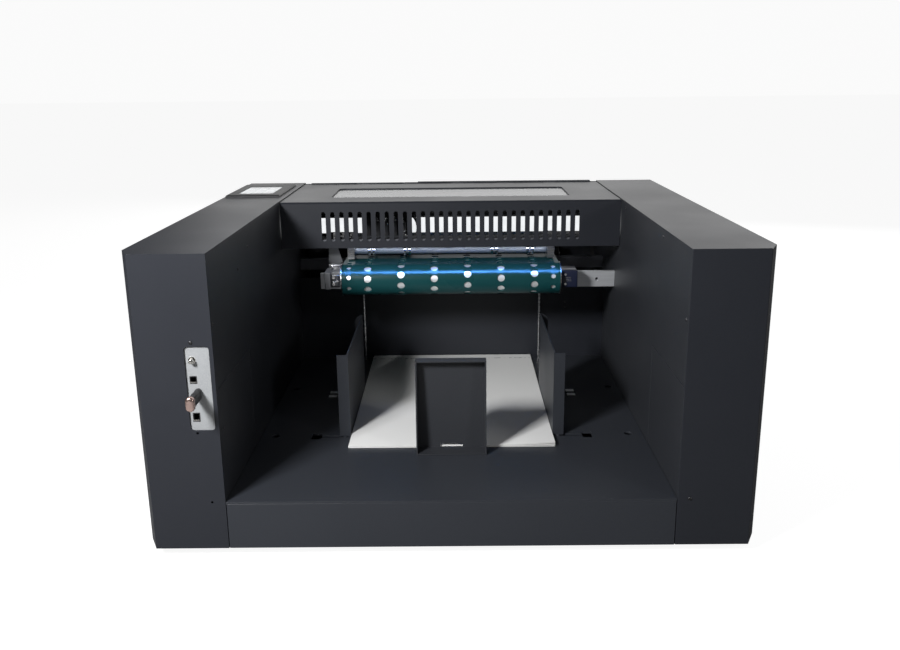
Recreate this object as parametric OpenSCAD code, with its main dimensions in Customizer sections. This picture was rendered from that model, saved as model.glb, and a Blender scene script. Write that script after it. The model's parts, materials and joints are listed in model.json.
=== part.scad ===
// Sheet-fed bench-top UV printer seen from its delivery side.
// Two tall towers flank an open delivery bay. A hinged bridge cover spans them at the rear, over a
// perforated vacuum belt, a UV lamp and a print carriage. Millimetres, +Z up, floor at Z = 0.

/* [Overall] */
// Outer width over both towers
body_w = 864; // [820:2:1060]
// Depth from the front face to the rear panel
body_d = 813; // [790:1:1000]
// Height of the bed above the floor
bed_z = 85; // [80:1:140]
// Height of the tower tops above the bed
bay_h = 351; // [345:1:430]
// Clear width between the towers
bay_w = 628; // [612:2:680]
// Height of the rubber feet
foot_h = 14; // [8:1:17]

/* [Casing] */
// Thickness of the tower casings and panels
casing_t = 2.5; // [2:0.1:3]
// Thickness of the inner covers
cover_t = 2.5; // [1.5:0.1:3]
// Chamfer of the towers' outer front edges, measured across
edge_x = 15; // [8:1:20]
// Chamfer of the towers' outer front edges, measured along the depth
edge_y = 30; // [10:1:36]
// Thickness of the bed plate
bed_t = 3; // [2:0.5:4]
// Visible seam between neighbouring panels
seam = 1; // [0.6:0.1:1.5]

/* [Bridge cover] */
// Distance of the cover's face behind the front of the towers
bridge_set = 504; // [480:1:506]
// Height of the cover's face
bridge_h = 85.4; // [82:0.1:88]
// Number of vent slots
vent_n = 29; // [9:1:33]
// Pitch of the vent slots
vent_pitch = 16.7; // [12:0.1:18]
// Width of one vent slot
vent_w = 7.9; // [5:0.1:9]
// Length of one vent slot
vent_len = 55; // [40:1:60]
// Width of the viewing window
window_w = 456; // [300:1:520]
// Depth of the viewing window
window_d = 144; // [100:1:160]

/* [Conveyor] */
// Outer radius of the belt where it turns over a roller
belt_r = 29; // [24:0.5:35]
// Width of the belt
belt_w = 406; // [396:1:410]
// Thickness of the belt
belt_t = 2; // [1.5:0.1:3]
// Radius of the roller journals
journal_r = 5; // [4:0.5:6]
// Radius of the hold-down shaft
exit_r = 6; // [4:0.5:7]

/* [Delivery] */
// Width of the printed sheet
sheet_w = 330; // [270:1:340]
// Length of the printed sheet
sheet_len = 483; // [420:1:484]
// Height of the sheet stack
stack_h = 6; // [2:0.5:20]
// Height of the side guides
guide_h = 141; // [100:1:150]
// Length of the side guides
guide_len = 246; // [200:1:250]
// Outward travel of each side guide
guide_travel = 44; // [20:1:46]
// Height of the end stop
stop_h = 149; // [90:1:155]
// Width of the end stop
stop_w = 109; // [80:1:130]

/* [Controls] */
// Width of the service panel's opening
service_w = 33.5; // [32:0.5:36]
// Height of the service panel's opening
service_h = 119; // [115:1:130]
// Radius of the push button
button_r = 3.5; // [3:0.1:4]
// Distance the knob stands out in front of the towers
knob_out = 42; // [36:1:50]

/* [Fits] */
// Clearance between pieces that slide or turn past each other
gap = 0.3; // [0.2:0.05:0.4]
// Radial clearance of a journal in its bore
run_gap = 0.05; // [0.02:0.01:0.08]

/* [Hidden] */
$fn = 48;
big = 1000;
sliver = 0.01;
over = 1;

// Main planes
half_w = body_w / 2;
half_bay = bay_w / 2;
top_z = bed_z + bay_h;
infeed_out = 60;
front_y = (knob_out - body_d - infeed_out) / 2;
back_y = front_y + body_d;
pan_t = 3;
pan_top = foot_h + pan_t;

// Bridge cover
hood_t = 2;
hood_drop = 2;
hood_top = top_z - hood_drop;
hood_low = hood_top - bridge_h;
hood_y = front_y + bridge_set;
hood_edge = 3;
window_set = 69;
window_r = 12;
window_lap = 6;
glass_t = 3;
vent_drop = 17.7;
hinge_n = 6;
hinge_r = 3.5;
hinge_pin_r = 1.5;
hinge_span = 600;
hinge_gap = 0.5;
hinge_back = 11;
hinge_y = back_y - hinge_back;
hinge_z = hood_top - hood_t / 2;
hinge_flange = 6;
strip_h = 3;
strip_x0 = -71;
strip_x1 = 300;
ledge_w = 8;
ledge_t = 3;
ledge_len = 220;
ledge_set = 40;

// Conveyor, measured back from the bridge face and down from the tower tops
belt_y = hood_y + 10;
belt_run = 246;
drive_y = belt_y + belt_run;
belt_z = top_z - 149;
belt_half = belt_w / 2;
roller_r = belt_r - belt_t - gap;
roller_half = belt_half - 1;
flange_t = 1.5;
flange_r = belt_r + 1.5;
side_x = belt_half + gap + flange_t + 1.2;
bearing_w = 31;
bearing_h = 32;
bearing_front = 14;
bar_y = belt_y + flange_r + 2.5;
bar_t = 10;
bar_h = 30;
bar_clear = 1.5;
bar_top = belt_z - belt_r + belt_t + bar_clear + bar_h;
bar_free_x = side_x + 45;
platen_half = belt_half - 3;
platen_top = belt_z + belt_r - belt_t - gap;
platen_gap = 7.3;
platen_back = drive_y - roller_r - platen_gap;
rear_bar_y = drive_y - 70;
rear_bar_d = 20;
rear_bar_h = 22;
arm_w = 8;
arm_h = 28;
arm_reach = 15;
exit_set = 28;
exit_y = bar_y + exit_set;
bracket_x = 184;
bracket_w = 13;
bracket_d = 42;
bracket_low = 11;
exit_half = bracket_x + bracket_w + 3;
collar_r = 9;
sheet_gap = 5;
exit_z = belt_z + belt_r + sheet_gap + collar_r;
collar_w = 5;
collar_step = 9;
collar_xs = [-153, -84, 84, 153];
gusset_t = 2;
pulley_x = side_x + 12;
pulley_w = 12;
drive_pulley_r = 16;
motor_pulley_r = 10;
shaft_out = 3;
motor_y = drive_y - 25;
motor_z = belt_z - 91;
motor_r = 28;
motor_len = 70;
motor_shaft_r = 4;
shaft_seat = 12;
timing_t = 1.5;
timing_w = 10;

// UV lamp
lamp_y = hood_y + hood_t + 1.5;
lamp_d = bar_y - lamp_y;
lamp_low = hood_low + 0.9;
lamp_h = 14.5;
lens_half = 205;
lens_inset = 1.5;
lens_d = 10;
lens_t = 1.5;

// Gantry and carriage
beam_y = hood_y + 201;
beam_d = 40;
beam_low = top_z - 92;
beam_h = 31;
beam_top = beam_low + beam_h;
bar_light_t = 2;
rail_h = 9;
rail_d = 12;
rail_x0 = -258;
rail_x1 = 300;
rail_y = beam_y + 14;
head_park_x = -119;
head_w = 76;
head_y = hood_y + 108;
head_d = 78;
head_low = top_z - 95;
head_top = top_z - 15;
block_wall = 5;
block_floor = 4;
nozzle_w = 52;
nozzle_d = 60;
nozzle_gap = 4;
nozzle_low = belt_z + belt_r + nozzle_gap;
nozzle_set = 8;
pull_x = 285;
pull_y = beam_y + 20;
pull_r = 8;
pull_h = 9;
pull_z = beam_top + 4.5;
pull_pin_r = 2.5;
cable_belt_t = 1.2;
cable_belt_w = 6;
clamp_w = 32;
clamp_h = 12;
step_r = 21;
step_h = 40;

// Controls on the left tower
service_x1 = -half_bay - 5.5;
service_x0 = service_x1 - service_w;
service_top = top_z - 125;
service_low = service_top - service_h;
service_corner = 5;
service_lap = 2.5;
service_t = 2;
plate_y = front_y + casing_t;
button_x = service_x0 + 9.5;
button_z = service_top - 19.5;
button_out = 6;
button_in = 10;
collar_flange = 1.5;
collar_len = 2;
knob_x = service_x0 + 14.5;
knob_z = service_top - 67;
knob_w = 8.5;
knob_h = 17;
cap_w = 12;
cap_h = 20.4;
cap_len = 8;
knob_shaft_r = 3;
socket_x = service_x0 + 9;
socket_w = 10;
socket_zs = [service_top - 47.4, service_top - 100.7];
socket_hs = [11, 13];
socket_deep = 16;
socket_wall = 1;
socket_fit = 0.1;

// Touch display
bezel_w = 103.5;
bezel_d = 181;
bezel_h = 4.5;
bezel_bevel = 2;
bezel_x = -(half_w + half_bay) / 2 - 3.7;
bezel_y = hood_y + 66;
screen_w = 67;
screen_d = 115;
screen_y = bezel_y + 26;
screen_t = 1;
pocket = 2;

// Delivery bay
wall_y = front_y + 671;
wall_t = 2;
wall_top = belt_z - belt_r - 2;
stack_y = front_y + 185;
guide_t = 2;
guide_in = sheet_w / 2 + 0.4;
guide_y = front_y + 234;
guide_flange = 18;
rear_flange = 15;
guide_low = bed_z + gap;
slot_w = 8;
stud_r = 3;
stud_in = 9;
slot_x0 = guide_in + 5;
key_len = 16;
slot_x1 = guide_in + guide_travel + key_len + 4.6;
key_w = 22;
rear_slot_y = front_y + 437;
hole_r = 6.5;
hole_xs = [half_bay - 24, half_bay - 19];
hole_ys = [front_y + 238, front_y + 469];
under_z = bed_z - bed_t - 10;
under_h = 7;
under_w = 10;
pinion_y = front_y + 337;
pinion_teeth = 16;
pitch_r = 16;
tooth_up = 1.5;
tooth_down = 2.2;
tooth_t = 2.3;
tooth_tip = 1.3;
rack_w = 8;
rack_over = 56;
tooth_pitch = 2 * PI * pitch_r / pinion_teeth;
pinion_bore = 3;
stop_y = front_y + 154.5;
stop_d = stack_y - stop_y - 0.5;
stop_t = 2;
stop_top_d = 18;
stop_low = bed_z + gap;
stop_slot_w = 36;
stop_slot_h = 7;
rod_x = 180;
rod_y = front_y + 650;
rod_r = 2;
rod_h = 150;

// Base, rear and electrics
return_d = 18;
flange_h = 30;
foot_r = 20;
foot_in = 42;
infeed_half = 190;
infeed_z = belt_z + 25;
infeed_t = 2;
infeed_wall = 10;
infeed_slot_h = 28;
infeed_in = 21;
fan_x = -200;
fan_z = bed_z + 115;
fan_size = 120;
fan_d = 25;
fan_bore = 56;
fan_blade_r = 54;
fan_hub_r = 20;
fan_blades = 7;
fan_pin_r = 3;
fan_spoke = 4;
blade_t = 3;
box_w = 60;
box_d = 220;
box_h = 230;
box_y = front_y + 300;
box_z = pan_top + 83;
supply_w = 84;
supply_d = 200;
supply_h = 83;
supply_y = back_y - casing_t - 260;
inlet_w = 48;
inlet_h = 28;
inlet_z = pan_top + 120;
inlet_x = (half_w + half_bay) / 2;
inlet_deep = 20;
inlet_mouth_w = 24;
inlet_mouth_h = 16;
inlet_rim = 3;
inlet_mouth = 16;
seam_y = front_y + 200;
seam_z = top_z - 189;
screw_r = 2.6;
screw_h = 1.2;

// Box from its low corner to its high corner
module span(a, b) {
  translate(a) cube(b - a);
}

// Round bar along X from x0 to x1
module bar_x(r, x0, x1, y, z) {
  translate([x0, y, z]) rotate([0, 90, 0]) cylinder(r = r, h = x1 - x0);
}

// Round bar along Y from y0 to y1
module bar_y_axis(r, x, y0, y1, z) {
  translate([x, y0, z]) rotate([-90, 0, 0]) cylinder(r = r, h = y1 - y0);
}

// Rectangle with true round corners, centred
module round_rect(w, h, r) {
  square([w - 2 * r, h], center = true);
  square([w, h - 2 * r], center = true);
  for (sx = [-1, 1], sy = [-1, 1]) translate([sx * (w / 2 - r), sy * (h / 2 - r)]) circle(r = r);
}

// Keeps the children and adds or swaps to the mirror side
module on_side(s) {
  if (s > 0) children();
  else mirror([1, 0, 0]) children();
}

// Outline of a tower on the right, with its outer front edge chamfered, set in by t
function tower_outline(t, x_in) =
  let (slant = norm([edge_x, edge_y]))
  [
    [x_in, front_y + t],
    [half_w - edge_x - t * (slant - edge_x) / edge_y, front_y + t],
    [half_w - t, front_y + edge_y + t * (slant - edge_y) / edge_x],
    [half_w - t, back_y - t],
    [x_in, back_y - t]
  ];

module tower_shell() {
  translate([0, 0, foot_h]) linear_extrude(top_z - foot_h - casing_t) difference() {
    polygon(tower_outline(0, half_bay));
    polygon(tower_outline(casing_t, half_bay - big));
  }
  translate([0, 0, top_z - casing_t]) linear_extrude(casing_t) polygon(tower_outline(0, half_bay));
}

module service_cut() {
  translate([(service_x0 + service_x1) / 2, front_y - casing_t, (service_top + service_low) / 2])
    rotate([90, 0, 0]) translate([0, 0, -3 * casing_t])
      linear_extrude(3 * casing_t) round_rect(service_w, service_h, service_corner);
}

module left_casing() {
  hole_drop = 4;
  hole_small = 1.8;
  y1 = front_y + casing_t + over;
  low_hole_x = -half_bay - 18.4;
  color([0.2, 0.21, 0.23]) difference() {
    mirror([1, 0, 0]) tower_shell();
    service_cut();
    bar_y_axis(hole_small, socket_x, front_y - over, y1, service_low - hole_drop);
    bar_y_axis(hole_small, low_hole_x, front_y - over, y1, bed_z);
  }
}

module right_casing() {
  color([0.2, 0.21, 0.23]) difference() {
    tower_shell();
    span([inlet_x - inlet_w / 2, back_y - 2 * casing_t, inlet_z - inlet_h / 2],
      [inlet_x + inlet_w / 2, back_y + over, inlet_z + inlet_h / 2]);
  }
}

// Inner cover of a tower, with a small access plate let in at the front
module inner_cover() {
  y0 = front_y + casing_t;
  y1 = back_y - casing_t;
  z1 = top_z - casing_t;
  difference() {
    span([half_bay, y0, pan_top], [half_bay + cover_t, y1, z1]);
    span([half_bay - over, y0 - over, bed_z], [half_bay + cover_t + over, seam_y + seam, seam_z + seam]);
  }
  span([half_bay, y0, bed_z + seam], [half_bay + cover_t, seam_y, seam_z]);
  span([half_bay - ledge_w, hood_y + ledge_set, hood_top - hood_t - gap - ledge_t],
    [half_bay + sliver, hood_y + ledge_set + ledge_len, hood_top - hood_t - gap]);
}

module left_inner_cover() {
  color([0.13, 0.14, 0.15]) mirror([1, 0, 0]) inner_cover();
}

module right_inner_cover() {
  color([0.13, 0.14, 0.15]) inner_cover();
}

module base_pan() {
  x_bay = half_bay - seam;
  x_wall = half_w - casing_t;
  color([0.25, 0.26, 0.28]) {
    translate([0, 0, foot_h]) linear_extrude(pan_t) {
      polygon(tower_outline(casing_t, 0));
      mirror([1, 0]) polygon(tower_outline(casing_t, 0));
    }
    for (s = [-1, 1]) on_side(s)
      span([x_wall - casing_t, front_y + 2 * edge_y, foot_h],
        [x_wall, back_y - 2 * edge_y, foot_h + flange_h]);
    span([-x_bay, front_y + casing_t, foot_h], [x_bay, front_y + 2 * casing_t, foot_h + flange_h]);
    span([-x_bay, back_y - 2 * casing_t, foot_h], [x_bay, back_y - casing_t, foot_h + flange_h]);
  }
}

module feet() {
  rim = 3;
  color([0.06, 0.06, 0.06])
    for (sx = [-1, 1], y = [front_y + foot_in + edge_y, back_y - foot_in])
      translate([sx * (half_w - foot_in), y, 0]) rotate_extrude()
        polygon([[0, 0], [foot_r - rim, 0], [foot_r, rim], [foot_r, foot_h], [0, foot_h]]);
}

module bed_plate() {
  x = half_bay - seam / 2;
  color([0.2, 0.21, 0.23]) {
    difference() {
      span([-x, front_y, bed_z - bed_t], [x, wall_y, bed_z]);
      for (s = [-1, 1]) on_side(s) {
        span([slot_x0, guide_y - slot_w / 2, bed_z - 2 * bed_t],
          [slot_x1, guide_y + slot_w / 2, bed_z + over]);
        span([slot_x1 - key_len, guide_y - key_w / 2, bed_z - 2 * bed_t],
          [slot_x1, guide_y + key_w / 2, bed_z + over]);
        span([slot_x0, rear_slot_y - slot_w / 2, bed_z - 2 * bed_t],
          [slot_x1, rear_slot_y + slot_w / 2, bed_z + over]);
        for (i = [0, 1]) translate([hole_xs[i], hole_ys[i], bed_z - 2 * bed_t])
          cylinder(r = hole_r, h = 3 * bed_t);
      }
      for (s = [-1, 1]) translate([s * rod_x, rod_y, bed_z - 2 * bed_t]) cylinder(r = rod_r, h = 3 * bed_t);
    }
    translate([0, pinion_y, under_z - under_h])
      cylinder(r = pinion_bore, h = bed_z - bed_t - under_z + under_h + sliver);
  }
}

module front_panel() {
  x = half_bay - seam;
  color([0.2, 0.21, 0.23]) {
    span([-x, front_y, foot_h], [x, front_y + casing_t, bed_z - bed_t]);
    span([-x, front_y, bed_z - bed_t - casing_t], [x, front_y + return_d, bed_z - bed_t]);
  }
}

module bay_back_wall() {
  color([0.13, 0.14, 0.15]) span([-half_bay, wall_y, pan_top], [half_bay, wall_y + wall_t, wall_top]);
}

// Ends of barrel i of the long hinge
function barrel_x0(i) = -hinge_span / 2 + i * hinge_span / hinge_n + hinge_gap / 2;
function barrel_x1(i) = barrel_x0(i + 1) - hinge_gap;

// Every second barrel of the long hinge, each with its leaf from y0 to y1
module hinge_barrels(first, y0, y1) {
  for (i = [first : 2 : hinge_n - 1]) {
    bar_x(hinge_r, barrel_x0(i), barrel_x1(i), hinge_y, hinge_z);
    span([barrel_x0(i), y0, hinge_z - hood_t / 2], [barrel_x1(i), y1, hinge_z + hood_t / 2]);
  }
}

module rear_panel() {
  x = half_bay - seam / 2;
  slot_low = infeed_z - infeed_t;
  color([0.2, 0.21, 0.23]) {
    difference() {
      span([-x, back_y - casing_t, foot_h], [x, back_y, hood_top]);
      span([-infeed_half - gap, back_y - 2 * casing_t, slot_low],
        [infeed_half + gap, back_y + over, slot_low + infeed_slot_h]);
      bar_y_axis(fan_bore, fan_x, back_y - 2 * casing_t, back_y + over, fan_z);
    }
    span([-x, back_y - hinge_flange, hood_top - hood_t], [x, back_y, hood_top]);
    span([strip_x0, back_y - hinge_flange, hood_top - sliver], [strip_x1, back_y, hood_top + strip_h]);
    hinge_barrels(1, hinge_y + hinge_r / 2, back_y - hinge_flange + sliver);
    bar_x(hinge_pin_r, -hinge_span / 2 + hinge_gap, hinge_span / 2 - hinge_gap, hinge_y, hinge_z);
  }
}

module infeed_table() {
  y0 = back_y - infeed_in;
  y1 = back_y + infeed_out;
  color([0.3, 0.31, 0.33]) {
    span([-infeed_half, y0, infeed_z - infeed_t], [infeed_half, y1, infeed_z]);
    for (s = [-1, 1]) on_side(s)
      span([infeed_half - infeed_t, y0, infeed_z - sliver], [infeed_half, y1, infeed_z + infeed_wall]);
  }
}

// Cover: folded sheet with chamfered front edge, window and vent slots
module hood() {
  x = half_bay - seam;
  rear = hinge_y - 2 * hinge_r + 2;
  slot_mid = hood_top - vent_drop - vent_len / 2;
  color([0.2, 0.21, 0.23]) difference() {
    union() {
      translate([-x, 0, 0]) rotate([90, 0, 90]) linear_extrude(2 * x) polygon([
        [hood_y, hood_low], [hood_y + hood_t, hood_low], [hood_y + hood_t, hood_top - hood_edge],
        [hood_y + hood_edge, hood_top - hood_t], [rear, hood_top - hood_t], [rear, hood_top],
        [hood_y + hood_edge, hood_top], [hood_y, hood_top - hood_edge]
      ]);
      hinge_barrels(0, rear - sliver, hinge_y - hinge_r / 2);
    }
    bar_x(hinge_pin_r + run_gap, -half_bay, half_bay, hinge_y, hinge_z);
    translate([0, hood_y + window_set + window_d / 2, hood_top - 2 * hood_t])
      linear_extrude(3 * hood_t) round_rect(window_w, window_d, window_r);
    for (i = [0 : vent_n - 1])
      translate([(i - (vent_n - 1) / 2) * vent_pitch, hood_y + 2 * hood_t, slot_mid])
        rotate([90, 0, 0]) linear_extrude(3 * hood_t) round_rect(vent_w, vent_len, vent_w / 2 - sliver);
  }
}

module hood_window() {
  x = window_w / 2 + window_lap;
  y0 = hood_y + window_set - window_lap;
  z1 = hood_top - hood_t;
  color([0.55, 0.58, 0.6, 0.5]) span([-x, y0, z1 - glass_t], [x, y0 + window_d + 2 * window_lap, z1]);
}

module rear_bar() {
  color([0.45, 0.46, 0.48]) {
    span([-half_bay, rear_bar_y, bar_top - rear_bar_h], [half_bay, rear_bar_y + rear_bar_d, bar_top]);
    for (s = [-1, 1]) on_side(s) difference() {
      span([side_x, rear_bar_y + rear_bar_d - sliver, belt_z - arm_h / 2],
        [side_x + arm_w, drive_y + arm_reach, belt_z + arm_h / 2]);
      bar_x(journal_r + run_gap, side_x - over, side_x + arm_w + over, drive_y, belt_z);
    }
  }
}

module conveyor_bar() {
  wall_hole_r = 3;
  wall_hole_in = 34;
  color([0.72, 0.73, 0.74]) difference() {
    span([-bar_free_x, bar_y, bar_top - bar_h], [half_bay, bar_y + bar_t, bar_top]);
    bar_y_axis(wall_hole_r, half_bay - wall_hole_in, bar_y - over, bar_y + bar_t + over,
      bar_top - bar_h / 2);
  }
}

module bearing(s) {
  on_side(s) difference() {
    span([side_x, belt_y - bearing_front, belt_z - bearing_h / 2],
      [side_x + bearing_w, bar_y, belt_z + bearing_h / 2]);
    bar_x(journal_r + run_gap, side_x - over, side_x + bearing_w + over, belt_y, belt_z);
  }
}

module bearing_left() {
  color([0.5, 0.51, 0.53]) bearing(-1);
}

module bearing_right() {
  color([0.16, 0.18, 0.26]) bearing(1);
}

module gusset_plate() {
  top_out = 25;
  top_in = 14;
  out = 28;
  knee = 18.5;
  neck = 52.5;
  top = lamp_low + lamp_h - 3;
  color([0.5, 0.51, 0.52]) translate([0, bar_y + gusset_t, 0]) rotate([90, 0, 0]) linear_extrude(gusset_t)
    polygon([
      [-side_x - out, bar_top], [-side_x, bar_top], [-side_x, bar_top + knee],
      [-side_x - top_in, bar_top + neck], [-side_x - top_in, top], [-side_x - top_out, top],
      [-side_x - out, bar_top + knee]
    ]);
}

// Closed belt round two equal rollers
module belt_outline(r) {
  translate([belt_y, belt_z]) circle(r = r, $fn = 96);
  translate([drive_y, belt_z]) circle(r = r, $fn = 96);
  translate([belt_y, belt_z - r]) square([belt_run, 2 * r]);
}

module belt() {
  color([0.03, 0.2, 0.22]) translate([-belt_half, 0, 0]) rotate([90, 0, 90])
    linear_extrude(belt_w) difference() {
      belt_outline(belt_r);
      belt_outline(belt_r - belt_t);
    }
}

module platen() {
  color([0.4, 0.41, 0.42])
    span([-platen_half, bar_y, bar_top], [platen_half, platen_back, platen_top]);
}

// Arm that hangs from the lamp housing and carries the hold-down shaft
module exit_bracket(s) {
  on_side(s) difference() {
    span([bracket_x, bar_y, exit_z - bracket_low],
      [bracket_x + bracket_w, bar_y + bracket_d, lamp_low + lamp_h]);
    bar_x(exit_r + run_gap, bracket_x - over, bracket_x + bracket_w + over, exit_y, exit_z);
  }
}

module exit_bracket_left() {
  color([0.6, 0.61, 0.62]) exit_bracket(-1);
}

module exit_bracket_right() {
  color([0.6, 0.61, 0.62]) exit_bracket(1);
}

module exit_shaft() {
  color([0.75, 0.76, 0.77]) bar_x(exit_r, -exit_half, exit_half, exit_y, exit_z);
}

module exit_collars() {
  color([0.8, 0.8, 0.8]) for (x = collar_xs, i = [-1, 1]) {
    mid = x + i * collar_step / 2;
    difference() {
      bar_x(collar_r, mid - collar_w / 2, mid + collar_w / 2, exit_y, exit_z);
      bar_x(exit_r, mid - collar_w, mid + collar_w, exit_y, exit_z);
    }
  }
}

module front_roller() {
  end_set = 4;
  end_x = side_x + bearing_w - end_set;
  color([0.78, 0.79, 0.8]) {
    bar_x(roller_r, -roller_half, roller_half, belt_y, belt_z);
    bar_x(journal_r, -end_x, end_x, belt_y, belt_z);
  }
}

module roller_flanges() {
  x = belt_half + gap;
  color([0.85, 0.86, 0.87]) for (s = [-1, 1]) on_side(s) difference() {
    bar_x(flange_r, x, x + flange_t, belt_y, belt_z);
    bar_x(journal_r, x - over, x + flange_t + over, belt_y, belt_z);
  }
}

module drive_roller() {
  color([0.35, 0.36, 0.38]) {
    bar_x(roller_r, -roller_half, roller_half, drive_y, belt_z);
    bar_x(journal_r, -side_x - arm_w - shaft_out, pulley_x + pulley_w + shaft_out, drive_y, belt_z);
  }
}

module drive_pulley() {
  color([0.7, 0.7, 0.72]) difference() {
    bar_x(drive_pulley_r, pulley_x, pulley_x + pulley_w, drive_y, belt_z);
    bar_x(journal_r, pulley_x - over, pulley_x + pulley_w + over, drive_y, belt_z);
  }
}

module motor_pulley() {
  color([0.7, 0.7, 0.72]) {
    bar_x(motor_pulley_r, pulley_x, pulley_x + pulley_w, motor_y, motor_z);
    bar_x(motor_shaft_r, pulley_x, half_bay - motor_len + shaft_seat - over, motor_y, motor_z);
  }
}

module drive_motor() {
  x0 = half_bay - motor_len;
  color([0.15, 0.15, 0.16]) difference() {
    bar_x(motor_r, x0, half_bay, motor_y, motor_z);
    bar_x(motor_shaft_r + run_gap, x0 - over, x0 + shaft_seat, motor_y, motor_z);
  }
}

module drive_belt_outline(grow) {
  hull() {
    translate([drive_y, belt_z]) circle(r = drive_pulley_r + grow);
    translate([motor_y, motor_z]) circle(r = motor_pulley_r + grow);
  }
}

module drive_belt() {
  x0 = pulley_x + (pulley_w - timing_w) / 2;
  color([0.08, 0.08, 0.08]) translate([x0, 0, 0]) rotate([90, 0, 90])
    linear_extrude(timing_w) difference() {
      drive_belt_outline(gap + timing_t);
      drive_belt_outline(gap);
    }
}

module uv_lamp() {
  color([0.3, 0.31, 0.34])
    span([-half_bay, lamp_y, lamp_low], [half_bay, lamp_y + lamp_d, lamp_low + lamp_h]);
}

module uv_lens() {
  color([0.3, 0.45, 1]) span([-lens_half, lamp_y + lens_inset, lamp_low - lens_t],
    [lens_half, lamp_y + lens_inset + lens_d, lamp_low]);
}

module gantry_beam() {
  hole_r_shaft = pull_pin_r + 1;
  color([0.92, 0.92, 0.92]) {
    difference() {
      span([-half_bay, beam_y, beam_low], [half_bay, beam_y + beam_d, beam_top]);
      translate([-pull_x, pull_y, beam_low - over]) cylinder(r = hole_r_shaft, h = beam_h + 2 * over);
    }
    translate([pull_x, pull_y, beam_top - sliver])
      cylinder(r = pull_pin_r, h = pull_h + pull_z - beam_top + over);
  }
}

// Opal cover of the work light along the beam
module light_bar() {
  color([0.95, 0.96, 0.97]) span([-half_bay, beam_y - bar_light_t, beam_low], [half_bay, beam_y, beam_top]);
}

module linear_rail() {
  color([0.8, 0.81, 0.82])
    span([rail_x0, rail_y, beam_low - rail_h], [rail_x1, rail_y + rail_d, beam_low]);
}

module carriage_motor() {
  color([0.12, 0.12, 0.13]) difference() {
    translate([-pull_x, pull_y, beam_low - step_h]) cylinder(r = step_r, h = step_h);
    translate([-pull_x, pull_y, beam_low - shaft_seat])
      cylinder(r = pull_pin_r + run_gap, h = shaft_seat + over);
  }
}

module carriage_pulley() {
  color([0.75, 0.75, 0.76]) {
    translate([-pull_x, pull_y, pull_z]) cylinder(r = pull_r, h = pull_h);
    translate([-pull_x, pull_y, beam_low - shaft_seat + over])
      cylinder(r = pull_pin_r, h = pull_z - beam_low + shaft_seat);
  }
}

module idler_pulley() {
  color([0.75, 0.75, 0.76]) translate([pull_x, pull_y, pull_z]) difference() {
    cylinder(r = pull_r, h = pull_h);
    translate([0, 0, -over]) cylinder(r = pull_pin_r + run_gap, h = pull_h + 2 * over);
  }
}

module carriage_belt_outline(r) {
  for (s = [-1, 1]) translate([s * pull_x, pull_y]) circle(r = r);
  translate([-pull_x, pull_y - r]) square([2 * pull_x, 2 * r]);
}

module carriage_belt() {
  color([0.1, 0.1, 0.1]) translate([0, 0, pull_z + (pull_h - cable_belt_w) / 2])
    linear_extrude(cable_belt_w) difference() {
      carriage_belt_outline(pull_r + gap + cable_belt_t);
      carriage_belt_outline(pull_r + gap);
    }
}

module print_carriage() {
  x0 = head_park_x - head_w / 2;
  x1 = head_park_x + head_w / 2;
  y1 = head_y + head_d;
  block_low = beam_low - rail_h - gap - block_floor;
  block_high = beam_low - 1;
  clamp_y = pull_y - pull_r - gap - cable_belt_t - gap;
  color([0.08, 0.08, 0.09]) {
    span([x0, head_y, head_low], [x1, y1, head_top]);
    difference() {
      span([x0, y1 - block_wall, block_low], [x1, rail_y + rail_d + gap + block_wall, block_high]);
      span([x0 - over, rail_y - gap, beam_low - rail_h - gap],
        [x1 + over, rail_y + rail_d + gap, beam_low + over]);
    }
    span([head_park_x - clamp_w / 2, y1 - sliver, pull_z - over],
      [head_park_x + clamp_w / 2, clamp_y, pull_z - 1 + clamp_h]);
  }
}

module print_head() {
  color([0.7, 0.7, 0.72]) span([head_park_x - nozzle_w / 2, head_y + nozzle_set, nozzle_low],
    [head_park_x + nozzle_w / 2, head_y + nozzle_set + nozzle_d, head_low]);
}

module display_bezel() {
  mid_y = bezel_y + bezel_d / 2;
  color([0.1, 0.1, 0.11]) difference() {
    hull() {
      translate([bezel_x - bezel_w / 2, bezel_y, top_z]) cube([bezel_w, bezel_d, bezel_h - bezel_bevel]);
      translate([bezel_x - bezel_w / 2 + bezel_bevel, bezel_y + bezel_bevel, top_z])
        cube([bezel_w - 2 * bezel_bevel, bezel_d - 2 * bezel_bevel, bezel_h]);
    }
    translate([bezel_x - screen_w / 2, screen_y, top_z + bezel_h - pocket])
      cube([screen_w, screen_d, pocket + over]);
  }
}

module display_screen() {
  color([0.9, 0.92, 0.93]) translate([bezel_x - screen_w / 2, screen_y, top_z + bezel_h - pocket])
    cube([screen_w, screen_d, screen_t]);
}

module service_panel() {
  x0 = service_x0 - service_lap;
  x1 = service_x1 + service_lap;
  color([0.68, 0.7, 0.71]) difference() {
    span([x0, plate_y, service_low - service_lap], [x1, plate_y + service_t, service_top + service_lap]);
    bar_y_axis(button_r + run_gap, button_x, plate_y - over, plate_y + service_t + over, button_z);
    bar_y_axis(knob_shaft_r + run_gap, knob_x, plate_y - over, plate_y + service_t + over, knob_z);
    for (i = [0, 1]) span([socket_x - socket_w / 2, plate_y - over, socket_zs[i] - socket_hs[i] / 2],
      [socket_x + socket_w / 2, plate_y + service_t + over, socket_zs[i] + socket_hs[i] / 2]);
  }
}

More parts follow.
